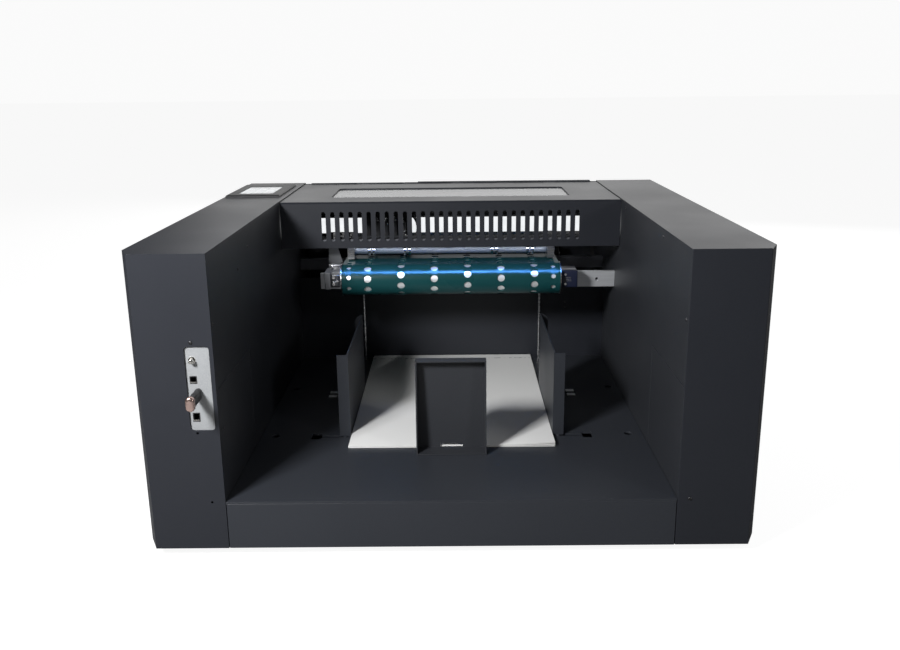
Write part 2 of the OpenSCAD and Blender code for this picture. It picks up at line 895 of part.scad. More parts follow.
module socket_liners() {
  color([0.05, 0.05, 0.05]) for (i = [0, 1]) {
    w = socket_w / 2 - socket_fit;
    h = socket_hs[i] / 2 - socket_fit;
    flange = socket_w / 2 + 2;
    difference() {
      union() {
        span([socket_x - w, plate_y, socket_zs[i] - h],
          [socket_x + w, plate_y + socket_deep, socket_zs[i] + h]);
        span([socket_x - flange, plate_y + service_t, socket_zs[i] - h - 2],
          [socket_x + flange, plate_y + service_t + socket_wall, socket_zs[i] + h + 2]);
      }
      span([socket_x - w + socket_wall, plate_y - over, socket_zs[i] - h + socket_wall],
        [socket_x + w - socket_wall, plate_y + socket_deep - socket_wall, socket_zs[i] + h - socket_wall]);
    }
  }
}

module push_button() {
  back = plate_y + service_t;
  color([0.85, 0.83, 0.78]) {
    bar_y_axis(button_r, button_x, front_y - button_out, back + button_in, button_z);
    bar_y_axis(button_r + collar_flange, button_x, back + gap, back + gap + collar_len, button_z);
  }
}

module pill(w, h, len) {
  linear_extrude(len) round_rect(w, h, w / 2 - sliver);
}

module service_knob() {
  back = plate_y + service_t;
  grip_y = front_y - knob_out + cap_len;
  color([0.75, 0.55, 0.48]) {
    bar_y_axis(knob_shaft_r, knob_x, plate_y - over, back + button_in, knob_z);
    bar_y_axis(knob_shaft_r + collar_flange, knob_x, back + gap, back + gap + collar_len, knob_z);
    translate([knob_x, plate_y - gap, knob_z]) rotate([90, 0, 0])
      pill(knob_w, knob_h, plate_y - gap - grip_y + sliver);
    translate([knob_x, grip_y, knob_z]) rotate([90, 0, 0]) pill(cap_w, cap_h, cap_len);
  }
}

module sheet_stack() {
  color([0.95, 0.95, 0.94])
    span([-sheet_w / 2, stack_y, bed_z], [sheet_w / 2, stack_y + sheet_len, bed_z + stack_h]);
}

// Slanting teeth of a rack along X, pointing to +Y from its pitch line
module rack_teeth(x0, x1) {
  first = ceil(x0 / tooth_pitch - 0.5) + 0.5;
  for (x = [first : 1 : x1 / tooth_pitch - 0.5]) translate([x * tooth_pitch, 0])
    polygon([[-tooth_t, -tooth_down - sliver], [tooth_t, -tooth_down - sliver],
      [tooth_tip / 2, tooth_up], [-tooth_tip / 2, tooth_up]]);
}

// Guide plate with outward flanges, its two studs through the bed and its rack below
module guide(s) {
  plate_top = guide_low + guide_h;
  stud_x = guide_in + stud_in;
  flange_x = guide_in + guide_t;
  rack_y = s * pitch_r;
  on_side(s) {
    span([guide_in, guide_y, guide_low], [guide_in + guide_t, guide_y + guide_len, plate_top]);
    span([guide_in, guide_y, guide_low], [guide_in + guide_flange, guide_y + guide_t, plate_top - 2]);
    span([guide_in, guide_y + guide_len - guide_t, guide_low],
      [guide_in + rear_flange, guide_y + guide_len, plate_top - rear_flange]);
    translate([guide_in, guide_y + guide_len, plate_top - rear_flange]) rotate([90, 0, 0])
      linear_extrude(guide_t) intersection() {
        circle(r = rear_flange);
        square(rear_flange);
      }
    span([flange_x - sliver, rear_slot_y - stud_r, guide_low],
      [stud_x + stud_r, rear_slot_y + stud_r, guide_low + guide_t]);
    span([flange_x - sliver, guide_y, guide_low],
      [stud_x + stud_r, guide_y + stud_r, guide_low + guide_t]);
    for (y = [guide_y, rear_slot_y]) translate([stud_x, y, under_z - under_h / 2])
      cylinder(r = stud_r, h = guide_low - under_z + under_h / 2 + guide_t / 2);
    span([stud_x - under_w / 2, guide_y - under_w / 2, under_z - under_h],
      [stud_x + under_w / 2, rear_slot_y + under_w / 2, under_z]);
    translate([0, pinion_y - rack_y, under_z - under_h]) mirror([0, s > 0 ? 0 : 1, 0])
      linear_extrude(under_h) {
        translate([-rack_over, -tooth_down - rack_w]) square([rack_over + stud_x, rack_w]);
        rack_teeth(-rack_over, rack_over);
      }
  }
}

module left_guide() {
  color([0.2, 0.21, 0.23]) guide(-1);
}

module right_guide() {
  color([0.2, 0.21, 0.23]) guide(1);
}

module guide_pinion() {
  root_r = pitch_r - tooth_down;
  tip_r = pitch_r + tooth_up;
  color([0.8, 0.78, 0.7]) translate([0, pinion_y, under_z - under_h]) difference() {
    linear_extrude(under_h) {
      circle(r = root_r);
      for (i = [0 : pinion_teeth - 1]) rotate(i * 360 / pinion_teeth + 90)
        polygon([[root_r - over, -tooth_t], [tip_r, -tooth_tip / 2],
          [tip_r, tooth_tip / 2], [root_r - over, tooth_t]]);
    }
    translate([0, 0, -over]) cylinder(r = pinion_bore + run_gap, h = under_h + 2 * over);
  }
}

// Tray-like end stop: back plate, foot flange, shallower top flange and tapering sides
module end_stop() {
  x = stop_w / 2;
  y1 = stop_y + stop_d;
  z1 = stop_low + stop_h;
  color([0.16, 0.17, 0.18]) {
    difference() {
      span([-x, y1 - stop_t, stop_low], [x, y1, z1]);
      span([-stop_slot_w / 2, y1 - 2 * stop_t, stop_low + stop_t],
        [stop_slot_w / 2, y1 + over, stop_low + stop_t + stop_slot_h]);
    }
    span([-x, stop_y, stop_low], [x, y1 - sliver, stop_low + stop_t]);
    span([-x, y1 - stop_top_d, z1 - stop_t], [x, y1 - sliver, z1]);
    for (s = [-1, 1]) on_side(s) translate([x - stop_t, 0, 0]) rotate([90, 0, 90]) linear_extrude(stop_t)
      polygon([[stop_y, stop_low], [y1 - sliver, stop_low], [y1 - sliver, z1], [y1 - stop_top_d, z1]]);
  }
}

module guide_rods() {
  color([0.8, 0.81, 0.82]) for (s = [-1, 1])
    translate([s * rod_x, rod_y, bed_z - bed_t]) cylinder(r = rod_r, h = rod_h + bed_t);
}

module fan_frame() {
  y0 = back_y - casing_t - fan_d;
  y1 = back_y - casing_t;
  half = fan_size / 2;
  color([0.07, 0.07, 0.08]) {
    difference() {
      span([fan_x - half, y0, fan_z - half], [fan_x + half, y1, fan_z + half]);
      bar_y_axis(fan_bore, fan_x, y0 - over, y1 + over, fan_z);
    }
    span([fan_x - fan_bore - over, y0, fan_z - fan_spoke],
      [fan_x + fan_bore + over, y0 + blade_t, fan_z + fan_spoke]);
    bar_y_axis(fan_pin_r, fan_x, y0 + sliver, y1 - 3, fan_z);
  }
}

module fan_rotor() {
  y0 = back_y - casing_t - fan_d + blade_t + 1;
  y1 = back_y - casing_t - 2;
  color([0.12, 0.12, 0.13]) difference() {
    union() {
      bar_y_axis(fan_hub_r, fan_x, y0, y1, fan_z);
      for (i = [0 : fan_blades - 1]) translate([fan_x, (y0 + y1) / 2, fan_z])
        rotate([0, i * 360 / fan_blades, 0]) translate([fan_hub_r - over, 0, 0]) rotate([35, 0, 0])
          translate([0, -blade_t / 2, -10]) cube([fan_blade_r - fan_hub_r, blade_t, 20]);
    }
    bar_y_axis(fan_pin_r + run_gap, fan_x, y0 - over, y1 + over, fan_z);
  }
}

module controller_box() {
  x1 = -half_bay - cover_t;
  color([0.3, 0.32, 0.34]) span([x1 - box_w, box_y, box_z], [x1, box_y + box_d, box_z + box_h]);
}

module power_supply() {
  x0 = half_bay + cover_t + 8;
  color([0.62, 0.63, 0.64])
    span([x0, supply_y, pan_top], [x0 + supply_w, supply_y + supply_d, pan_top + supply_h]);
}

module power_inlet() {
  y1 = back_y;
  w = inlet_w / 2;
  h = inlet_h / 2;
  color([0.06, 0.06, 0.07]) difference() {
    union() {
      span([inlet_x - w, y1 - inlet_deep, inlet_z - h], [inlet_x + w, y1 + sliver, inlet_z + h]);
      span([inlet_x - w - inlet_rim, y1, inlet_z - h - inlet_rim],
        [inlet_x + w + inlet_rim, y1 + 2, inlet_z + h + inlet_rim]);
    }
    span([inlet_x - inlet_mouth_w / 2, y1 - inlet_mouth, inlet_z - inlet_mouth_h / 2],
      [inlet_x + inlet_mouth_w / 2, y1 + 3, inlet_z + inlet_mouth_h / 2]);
  }
}

// Pan-head screws on the covers, the front faces and the back wall
module screws() {
  left_spots = [[234, 34], [165, 55], [8, 97], [19, 248]];
  right_spots = [[12, 97], [164, 12], [462, 12]];
  wall_drops = [235, 246];
  color([0.7, 0.71, 0.72]) {
    for (p = left_spots) bar_x(screw_r, -half_bay, -half_bay + screw_h, front_y + p[0], top_z - p[1]);
    for (p = right_spots) bar_x(screw_r, half_bay - screw_h, half_bay, front_y + p[0], top_z - p[1]);
    for (d = wall_drops) bar_y_axis(screw_r, half_bay - 78, wall_y - screw_h, wall_y, top_z - d);
    bar_y_axis(screw_r, service_x0 + 10, front_y - screw_h, front_y, service_top + 5.5);
    bar_y_axis(screw_r, half_bay + 17, front_y - screw_h, front_y, bed_z);
  }
}

base_pan();
feet();
left_casing();
right_casing();
left_inner_cover();
right_inner_cover();
bed_plate();
front_panel();
bay_back_wall();
rear_panel();
infeed_table();
rear_bar();
conveyor_bar();
bearing_left();
bearing_right();
gusset_plate();
belt();
platen();
exit_bracket_left();
exit_bracket_right();
exit_shaft();
exit_collars();
front_roller();
roller_flanges();
drive_roller();
drive_pulley();
motor_pulley();
drive_motor();
drive_belt();
uv_lamp();
uv_lens();
gantry_beam();
light_bar();
linear_rail();
carriage_motor();
carriage_pulley();
idler_pulley();
carriage_belt();
print_carriage();
print_head();
hood();
hood_window();
display_bezel();
display_screen();
service_panel();
socket_liners();
push_button();
service_knob();
sheet_stack();
left_guide();
right_guide();
guide_pinion();
end_stop();
guide_rods();
fan_frame();
fan_rotor();
controller_box();
power_supply();
power_inlet();
screws();
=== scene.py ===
# %% [markdown]
# # A sheet-fed UV printer, seen from its delivery side
# The printer is a bench-top machine with two tall sheet-metal towers. Printed sheets travel on a
# perforated vacuum belt under a bridge cover, are cured by a blue UV lamp, and drop into an open bay.
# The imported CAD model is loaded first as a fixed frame. Every piece made here is placed from the boxes
# of its nodes, so nothing has to be fitted by hand.

# %% Load the frame
import bmesh
import bpy
import json
import math
from mathutils import Matrix, Vector


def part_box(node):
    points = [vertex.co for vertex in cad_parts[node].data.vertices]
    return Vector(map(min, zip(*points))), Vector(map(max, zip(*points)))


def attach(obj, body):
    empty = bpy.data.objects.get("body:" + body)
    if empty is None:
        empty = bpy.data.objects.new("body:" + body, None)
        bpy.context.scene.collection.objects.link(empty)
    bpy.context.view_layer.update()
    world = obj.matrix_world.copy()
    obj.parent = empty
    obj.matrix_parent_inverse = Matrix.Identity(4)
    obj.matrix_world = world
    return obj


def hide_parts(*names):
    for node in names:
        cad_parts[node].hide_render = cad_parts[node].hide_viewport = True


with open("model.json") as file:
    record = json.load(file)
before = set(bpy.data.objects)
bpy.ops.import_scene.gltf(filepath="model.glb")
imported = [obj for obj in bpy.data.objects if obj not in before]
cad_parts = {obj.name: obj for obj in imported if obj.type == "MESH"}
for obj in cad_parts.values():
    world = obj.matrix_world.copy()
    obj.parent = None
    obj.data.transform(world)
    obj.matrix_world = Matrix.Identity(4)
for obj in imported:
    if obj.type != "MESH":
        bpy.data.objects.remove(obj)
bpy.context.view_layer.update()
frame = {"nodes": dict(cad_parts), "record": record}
NODES = frame["nodes"]
MM = 0.001

# %% [markdown]
# ## The view
# The camera stands a good metre in front of the towers and looks down by about fifteen degrees, so that
# the bed, the paper and the tower tops all show. It is set first, because everything else is judged
# through it. Its position is measured from the front face and the tower tops.

# %% Camera
casing_low, casing_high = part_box("left_casing")
FRONT = casing_low[1]
TOP = casing_high[2]
BACK = casing_high[1]
VIEW_PITCH = 0.2654
VIEW_YAW = -0.0056
VIEW_ROLL = 0.0104
LENS = 35.66


def aim_camera():
    place = Vector((8.9 * MM, FRONT - 1129.5 * MM, TOP + 213.2 * MM))
    look = Vector((math.sin(VIEW_YAW) * math.cos(VIEW_PITCH), math.cos(VIEW_YAW) * math.cos(VIEW_PITCH),
                   -math.sin(VIEW_PITCH)))
    right = Vector((math.cos(VIEW_YAW), -math.sin(VIEW_YAW), 0))
    down = look.cross(right)
    right_rolled = math.cos(VIEW_ROLL) * right + math.sin(VIEW_ROLL) * down
    down_rolled = -math.sin(VIEW_ROLL) * right + math.cos(VIEW_ROLL) * down
    turn = Matrix((right_rolled, -down_rolled, -look)).transposed()
    data = bpy.data.cameras.new("view")
    data.lens = LENS
    data.sensor_width = 36
    data.shift_x = -0.0014
    data.shift_y = -0.0036
    data.clip_start = 0.05
    camera = bpy.data.objects.new("view", data)
    camera.matrix_world = Matrix.Translation(place) @ turn.to_4x4()
    bpy.context.scene.collection.objects.link(camera)
    bpy.context.scene.camera = camera
    return camera


camera = aim_camera()
print("camera at", tuple(round(v, 3) for v in camera.matrix_world.translation))

# %% [markdown]
# ## Floor and light
# A pale floor and an almost white surround keep the eye on the machine. A broad light stands behind it,
# and the tower tops mirror it at a shallow angle, which is why dark powder coat looks light grey there.
# A small soft box near the left tower throws the tower's shadow across the paper, and a weaker one on the
# right draws a shadow down the bridge cover. The bay stays dark because little light reaches it. The floor
# is lifted towards white for the camera only, so that it doesn't light the machine from below. Two narrow
# lamps, hidden from the camera, stand in for the machine's own lamp: one draws a blue glint on the belt, and
# one lights the hold-down shaft. They belong to the studio, so they stay put when the cover opens.


# %% Studio
FLOOR_LIFT = 0.92


def floor_material():
    m = bpy.data.materials.new("pale_floor")
    m.use_nodes = True
    tree = m.node_tree
    shader = tree.nodes["Principled BSDF"]
    shader.inputs["Base Color"].default_value = (0.22, 0.22, 0.22, 1)
    shader.inputs["Roughness"].default_value = 0.8
    shader.inputs["Emission Color"].default_value = (1, 1, 1, 1)
    path = tree.nodes.new("ShaderNodeLightPath")
    lift = tree.nodes.new("ShaderNodeMath")
    lift.operation = "MULTIPLY"
    lift.inputs[1].default_value = FLOOR_LIFT
    tree.links.new(path.outputs["Is Camera Ray"], lift.inputs[0])
    tree.links.new(lift.outputs[0], shader.inputs["Emission Strength"])
    return m


def make_floor():
    bm = bmesh.new()
    bmesh.ops.create_grid(bm, x_segments=2, y_segments=2, size=30)
    mesh = bpy.data.meshes.new("floor")
    bm.to_mesh(mesh)
    bm.free()
    mesh.materials.append(floor_material())
    ground = bpy.data.objects.new("floor", mesh)
    bpy.context.scene.collection.objects.link(ground)
    return ground


def soft_box(name, place, target, size, power):
    data = bpy.data.lights.new(name, "AREA")
    data.shape = "RECTANGLE"
    data.size, data.size_y = size
    data.energy = power
    light = bpy.data.objects.new(name, data)
    light.location = place
    light.rotation_euler = (Vector(target) - Vector(place)).to_track_quat("-Z", "Y").to_euler()
    bpy.context.scene.collection.objects.link(light)
    return light


def set_surround(strength, shown):
    world = bpy.data.worlds.new("surround")
    bpy.context.scene.world = world
    world.use_nodes = True
    tree = world.node_tree
    back = tree.nodes["Background"]
    back.inputs["Color"].default_value = (1, 1, 1, 1)
    back.inputs["Strength"].default_value = strength
    seen = tree.nodes.new("ShaderNodeBackground")
    seen.inputs["Color"].default_value = (1, 1, 1, 1)
    seen.inputs["Strength"].default_value = shown
    path = tree.nodes.new("ShaderNodeLightPath")
    mix = tree.nodes.new("ShaderNodeMixShader")
    tree.links.new(path.outputs["Is Camera Ray"], mix.inputs["Fac"])
    tree.links.new(back.outputs["Background"], mix.inputs[1])
    tree.links.new(seen.outputs["Background"], mix.inputs[2])
    tree.links.new(mix.outputs["Shader"], tree.nodes["World Output"].inputs["Surface"])


bpy.context.scene.view_settings.view_transform = "Standard"
make_floor()
set_surround(0.06, 0.96)
soft_box("behind", (0.95, BACK + 1.9, TOP + 0.85), (0.12, BACK - 0.3, TOP), (5.0, 1.9), 35)
soft_box("overhead", (0.35, FRONT + 0.5, TOP + 1.9), (0.1, FRONT + 0.45, TOP), (2.2, 1.8), 0.8)
soft_box("left_key", (-0.74, FRONT - 0.78, TOP + 0.56), (-0.08, FRONT + 0.3, TOP - 0.35), (0.26, 0.26), 29)
soft_box("right_key", (1.75, FRONT - 1.45, TOP + 0.72), (0, FRONT + 0.35, TOP - 0.1), (0.4, 0.4), 9)
lens_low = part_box("uv_lens")[0]
glint_place = Vector((0, lens_low[1] - 40 * MM, lens_low[2]))
glint = soft_box("uv_glint", glint_place, glint_place + Vector((0, 0.50, -0.866)), (0.41, 0.014), 0.085)
glint.data.spread = math.radians(25)
glint.data.color = (0.10, 0.34, 1.0)
glint.visible_camera = False
glint.visible_diffuse = False
shaft_low, shaft_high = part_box("exit_shaft")
glow_place = Vector((0, shaft_low[1] - 17 * MM, shaft_high[2] + 13 * MM))
glow_target = (0, shaft_low[1] + 5 * MM, shaft_low[2] + 7 * MM)
glow = soft_box("work_glow", glow_place, glow_target, (0.40, 0.006), 0.005)
glow.data.spread = math.radians(40)
glow.data.color = (0.80, 0.88, 1.0)
glow.visible_camera = False
print("studio set")

# %% [markdown]
# ## Shared surface effects
# Powder coat, brushed metal and rubber all need fine variation that a flat colour lacks. Each effect is a
# node group with named inputs, built once. It gives out colours, values and normals only; the shader stays
# in the material. All patterns read Object coordinates, so they stay put when the piece moves.


# %% Node helpers
def new_group(name, inputs, outputs):
    group = bpy.data.node_groups.new(name, "ShaderNodeTree")
    for label, kind, value in inputs:
        socket = group.interface.new_socket(label, in_out="INPUT", socket_type=kind)
        if value is not None:
            socket.default_value = value
    for label, kind in outputs:
        group.interface.new_socket(label, in_out="OUTPUT", socket_type=kind)
    start = group.nodes.new("NodeGroupInput")
    end = group.nodes.new("NodeGroupOutput")
    return group, start, end


def node(tree, kind, **values):
    made = tree.nodes.new(kind)
    for key, value in values.items():
        setattr(made, key, value)
    return made


def join(tree, source, target):
    tree.links.new(source, target)


COLOR = "NodeSocketColor"
FLOAT = "NodeSocketFloat"
VECTOR = "NodeSocketVector"


# %% [markdown]
# Powder coat is sprayed as dust and baked, which leaves an orange-peel skin with tiny bright and dark
# specks. Two noises do this: a fine one raises the skin, a coarse one makes slow changes of tone.


# %% Powder coat group
def powder_group():
    g, start, end = new_group("powder_skin", [
        ("Color", COLOR, (0.05, 0.05, 0.06, 1)), ("Grain", FLOAT, 1500.0), ("Depth", FLOAT, 0.25),
        ("Roughness", FLOAT, 0.5), ("Tone", FLOAT, 0.12)],
        [("Color", COLOR), ("Roughness", FLOAT), ("Normal", VECTOR)])
    place = node(g, "ShaderNodeTexCoord")
    fine = node(g, "ShaderNodeTexNoise")
    fine.inputs["Detail"].default_value = 2
    join(g, place.outputs["Object"], fine.inputs["Vector"])
    join(g, start.outputs["Grain"], fine.inputs["Scale"])
    slow = node(g, "ShaderNodeTexNoise")
    slow.inputs["Scale"].default_value = 5
    slow.inputs["Detail"].default_value = 4
    join(g, place.outputs["Object"], slow.inputs["Vector"])
    specks = node(g, "ShaderNodeMapRange")
    specks.inputs["From Min"].default_value = 0.35
    specks.inputs["From Max"].default_value = 0.7
    specks.inputs["To Min"].default_value = 0.88
    specks.inputs["To Max"].default_value = 1.14
    join(g, fine.outputs["Fac"], specks.inputs["Value"])
    shift = node(g, "ShaderNodeMath", operation="SUBTRACT")
    join(g, slow.outputs["Fac"], shift.inputs[0])
    shift.inputs[1].default_value = 0.5
    tone = node(g, "ShaderNodeMath", operation="MULTIPLY_ADD")
    join(g, shift.outputs[0], tone.inputs[0])
    join(g, start.outputs["Tone"], tone.inputs[1])
    join(g, specks.outputs["Result"], tone.inputs[2])
    tint = node(g, "ShaderNodeVectorMath", operation="SCALE")
    join(g, start.outputs["Color"], tint.inputs[0])
    join(g, tone.outputs[0], tint.inputs["Scale"])
    join(g, tint.outputs[0], end.inputs["Color"])
    rough = node(g, "ShaderNodeMath", operation="MULTIPLY_ADD")
    join(g, shift.outputs[0], rough.inputs[0])
    rough.inputs[1].default_value = 0.18
    join(g, start.outputs["Roughness"], rough.inputs[2])
    join(g, rough.outputs[0], end.inputs["Roughness"])
    bump = node(g, "ShaderNodeBump")
    bump.inputs["Distance"].default_value = 0.0002
    join(g, start.outputs["Depth"], bump.inputs["Strength"])
    join(g, fine.outputs["Fac"], bump.inputs["Height"])
    join(g, bump.outputs["Normal"], end.inputs["Normal"])
    return g


# %% [markdown]
# Bare metal is ground or drawn in one direction, which leaves fine scratches. A noise stretched along one
# axis gives the lines, and they vary roughness as well as height.


# %% Brushed metal group
def brushed_group():
    g, start, end = new_group("brushed_lines", [
        ("Color", COLOR, (0.6, 0.6, 0.62, 1)), ("Stretch", VECTOR, (20.0, 900.0, 900.0)),
        ("Roughness", FLOAT, 0.3), ("Spread", FLOAT, 0.25), ("Depth", FLOAT, 0.12)],
        [("Color", COLOR), ("Roughness", FLOAT), ("Normal", VECTOR)])
    place = node(g, "ShaderNodeTexCoord")
    pull = node(g, "ShaderNodeVectorMath", operation="MULTIPLY")
    join(g, place.outputs["Object"], pull.inputs[0])
    join(g, start.outputs["Stretch"], pull.inputs[1])
    lines = node(g, "ShaderNodeTexNoise")
    lines.inputs["Scale"].default_value = 1
    lines.inputs["Detail"].default_value = 3
    join(g, pull.outputs[0], lines.inputs["Vector"])
    shift = node(g, "ShaderNodeMath", operation="SUBTRACT")
    join(g, lines.outputs["Fac"], shift.inputs[0])
    shift.inputs[1].default_value = 0.5
    rough = node(g, "ShaderNodeMath", operation="MULTIPLY_ADD")
    join(g, shift.outputs[0], rough.inputs[0])
    join(g, start.outputs["Spread"], rough.inputs[1])
    join(g, start.outputs["Roughness"], rough.inputs[2])
    join(g, rough.outputs[0], end.inputs["Roughness"])
    lift = node(g, "ShaderNodeMath", operation="MULTIPLY_ADD")
    join(g, shift.outputs[0], lift.inputs[0])
    lift.inputs[1].default_value = 0.3
    lift.inputs[2].default_value = 1.0
    tint = node(g, "ShaderNodeVectorMath", operation="SCALE")
    join(g, start.outputs["Color"], tint.inputs[0])
    join(g, lift.outputs[0], tint.inputs["Scale"])
    join(g, tint.outputs[0], end.inputs["Color"])
    bump = node(g, "ShaderNodeBump")
    bump.inputs["Distance"].default_value = 0.0001
    join(g, start.outputs["Depth"], bump.inputs["Strength"])
    join(g, lines.outputs["Fac"], bump.inputs["Height"])
    join(g, bump.outputs["Normal"], end.inputs["Normal"])
    return g


POWDER = powder_group()
BRUSHED = brushed_group()
print("groups:", POWDER.name, BRUSHED.name)


# %% [markdown]
# ## Materials
# A short function per finish places a group in a fresh material and connects it to the shader. The numbers
# passed in are the only difference between one powder coat and another.


# %% Material makers
def base_material(name):
    m = bpy.data.materials.new(name)
    m.use_nodes = True
    return m, m.node_tree, m.node_tree.nodes["Principled BSDF"]


def powder(name, color, roughness=0.5, grain=1500, depth=0.25, tone=0.12, coat=0.0, mirror=0.5):
    m, tree, shader = base_material(name)
    skin = node(tree, "ShaderNodeGroup", node_tree=POWDER)
    skin.inputs["Color"].default_value = (*color, 1)
    skin.inputs["Grain"].default_value = grain
    skin.inputs["Depth"].default_value = depth
    skin.inputs["Roughness"].default_value = roughness
    skin.inputs["Tone"].default_value = tone
    join(tree, skin.outputs["Color"], shader.inputs["Base Color"])
    join(tree, skin.outputs["Roughness"], shader.inputs["Roughness"])
    join(tree, skin.outputs["Normal"], shader.inputs["Normal"])
    shader.inputs["Coat Weight"].default_value = coat
    shader.inputs["Specular IOR Level"].default_value = mirror
    return m


def brushed(name, color, stretch=(20, 900, 900), roughness=0.3, spread=0.25, metallic=1.0):
    m, tree, shader = base_material(name)
    lines = node(tree, "ShaderNodeGroup", node_tree=BRUSHED)
    lines.inputs["Color"].default_value = (*color, 1)
    lines.inputs["Stretch"].default_value = stretch
    lines.inputs["Roughness"].default_value = roughness
    lines.inputs["Spread"].default_value = spread
    join(tree, lines.outputs["Color"], shader.inputs["Base Color"])
    join(tree, lines.outputs["Roughness"], shader.inputs["Roughness"])
    join(tree, lines.outputs["Normal"], shader.inputs["Normal"])
    shader.inputs["Metallic"].default_value = metallic
    return m


def glowing(name, color, strength):
    m, tree, shader = base_material(name)
    place = node(tree, "ShaderNodeTexCoord")
    cells = node(tree, "ShaderNodeTexNoise")
    cells.inputs["Scale"].default_value = 60
    join(tree, place.outputs["Object"], cells.inputs["Vector"])
    spread = node(tree, "ShaderNodeMapRange")
    spread.inputs["To Min"].default_value = 0.85
    spread.inputs["To Max"].default_value = 1.15
    join(tree, cells.outputs["Fac"], spread.inputs["Value"])
    tint = node(tree, "ShaderNodeVectorMath", operation="SCALE")
    tint.inputs[0].default_value = color
    join(tree, spread.outputs["Result"], tint.inputs["Scale"])
    join(tree, tint.outputs[0], shader.inputs["Base Color"])
    join(tree, tint.outputs[0], shader.inputs["Emission Color"])
    shader.inputs["Emission Strength"].default_value = strength
    shader.inputs["Roughness"].default_value = 0.2
    return m


MATERIALS = {
    "powder_coat": powder("charcoal_powder_coat", (0.027, 0.030, 0.037), roughness=0.42, mirror=0.38),
    # Painted shade: the towers, the hood and the bay's back wall take a darker copy of the charcoal powder
    # coat, so their lit faces render darker.
    "painted_shade_coat": powder("painted_shade_powder_coat", (0.018, 0.020, 0.026), roughness=0.42, mirror=0.38),
    "dark_cover": powder("dark_powder_coat", (0.024, 0.026, 0.031), roughness=0.46),
    "rubber": powder("foot_rubber", (0.02, 0.02, 0.02), roughness=0.75, grain=600, depth=0.5),
    "bare_steel": brushed("drawn_steel", (0.62, 0.62, 0.63), roughness=0.28),
    "aluminium": brushed("milled_aluminium", (0.78, 0.80, 0.83), roughness=0.36, metallic=0.7),
    "blue_block": powder("blue_black_enamel", (0.012, 0.016, 0.04), roughness=0.35, coat=0.3),
    "belt_green": powder("belt_rubber", (0.008, 0.055, 0.060), roughness=0.30, grain=900,
                         depth=0.1, tone=0.08, mirror=0.18),
    "black_rubber": powder("timing_rubber", (0.015, 0.015, 0.015), roughness=0.6),
    "lamp_body": powder("lamp_anodising", (0.10, 0.105, 0.12), roughness=0.4),
    "uv_glass": glowing("uv_light", (0.06, 0.24, 1.0), 1.5),
    "light_cover": glowing("opal_work_light", (0.93, 0.95, 0.97), 0.95),
    "white_enamel": powder("white_enamel", (0.86, 0.87, 0.88), roughness=0.3, depth=0.08, tone=0.05),
    "black_plastic": powder("moulded_black", (0.018, 0.018, 0.02), roughness=0.5, grain=900, depth=0.3),
    "panel_grey": powder("panel_silver_grey", (0.29, 0.30, 0.31), roughness=0.42, depth=0.12),
    "nickel": brushed("turned_nickel", (0.82, 0.80, 0.76), roughness=0.18, spread=0.1),
    "rose_metal": brushed("rose_anodising", (0.80, 0.58, 0.52), roughness=0.25, spread=0.12),
    "bright_roller": brushed("ground_roller", (0.86, 0.87, 0.88), roughness=0.36, metallic=0.6),
    # The hold-down shaft's finish is partly real satin anodising and partly painted light: its colour is made
    # pale so that it reads as lit under the dark hood.
    "shaft_satin_painted_light": powder("satin_anodised_painted_light", (0.80, 0.82, 0.86), roughness=0.40, depth=0.06),
    "tile": powder("menu_tile", (0.86, 0.88, 0.9), roughness=0.25, depth=0.02, tone=0.04),
    "grey_block": powder("sanded_grey", (0.27, 0.28, 0.30), roughness=0.42, depth=0.15),
    "dark_steel": brushed("phosphated_steel", (0.30, 0.31, 0.33), roughness=0.36),
    "bright_steel": brushed("bright_steel", (0.86, 0.86, 0.87), roughness=0.2, spread=0.12),
    "black_steel": brushed("blackened_steel", (0.09, 0.09, 0.095), roughness=0.4),
    "zinc": brushed("zinc_plate", (0.80, 0.82, 0.84), stretch=(400, 400, 400), roughness=0.34, metallic=0.55),
    "smoked_plastic": powder("smoked_plastic", (0.035, 0.036, 0.04), roughness=0.28, depth=0.05, coat=0.3),
}
print("materials:", len(MATERIALS))


# %% [markdown]
# Paper, glass and the display are their own finishes. The paper has a faint fibre and a printed control
# strip near its back edge, drawn as a row of dashes. The window is tinted acrylic, and the screen is a
# pale panel behind a glossy cover.


# %% Glass and screen
def tinted_window():
    m, tree, shader = base_material("tinted_acrylic")
    place = node(tree, "ShaderNodeTexCoord")
    smear = node(tree, "ShaderNodeTexNoise")
    smear.inputs["Scale"].default_value = 14
    smear.inputs["Detail"].default_value = 5
    join(tree, place.outputs["Object"], smear.inputs["Vector"])
    dull = node(tree, "ShaderNodeMapRange")
    dull.inputs["To Min"].default_value = 0.06
    dull.inputs["To Max"].default_value = 0.16
    join(tree, smear.outputs["Fac"], dull.inputs["Value"])
    join(tree, dull.outputs["Result"], shader.inputs["Roughness"])
    shader.inputs["Base Color"].default_value = (0.16, 0.17, 0.18, 1)
    shader.inputs["Alpha"].default_value = 0.72
    shader.inputs["Specular IOR Level"].default_value = 0.35
    return m


def lit_screen():
    m, tree, shader = base_material("screen_panel")
    place = node(tree, "ShaderNodeTexCoord")
    speckle = node(tree, "ShaderNodeTexNoise")
    speckle.inputs["Scale"].default_value = 40
    join(tree, place.outputs["Object"], speckle.inputs["Vector"])
    ramp = node(tree, "ShaderNodeMapRange")
    ramp.inputs["To Min"].default_value = 0.93
    ramp.inputs["To Max"].default_value = 1.05
    join(tree, speckle.outputs["Fac"], ramp.inputs["Value"])
    tint = node(tree, "ShaderNodeVectorMath", operation="SCALE")
    tint.inputs[0].default_value = (0.62, 0.66, 0.68)
    join(tree, ramp.outputs["Result"], tint.inputs["Scale"])
    join(tree, tint.outputs[0], shader.inputs["Base Color"])
    join(tree, tint.outputs[0], shader.inputs["Emission Color"])
    shader.inputs["Emission Strength"].default_value = 0.25
    shader.inputs["Roughness"].default_value = 0.15
    shader.inputs["Coat Weight"].default_value = 0.5
    return m


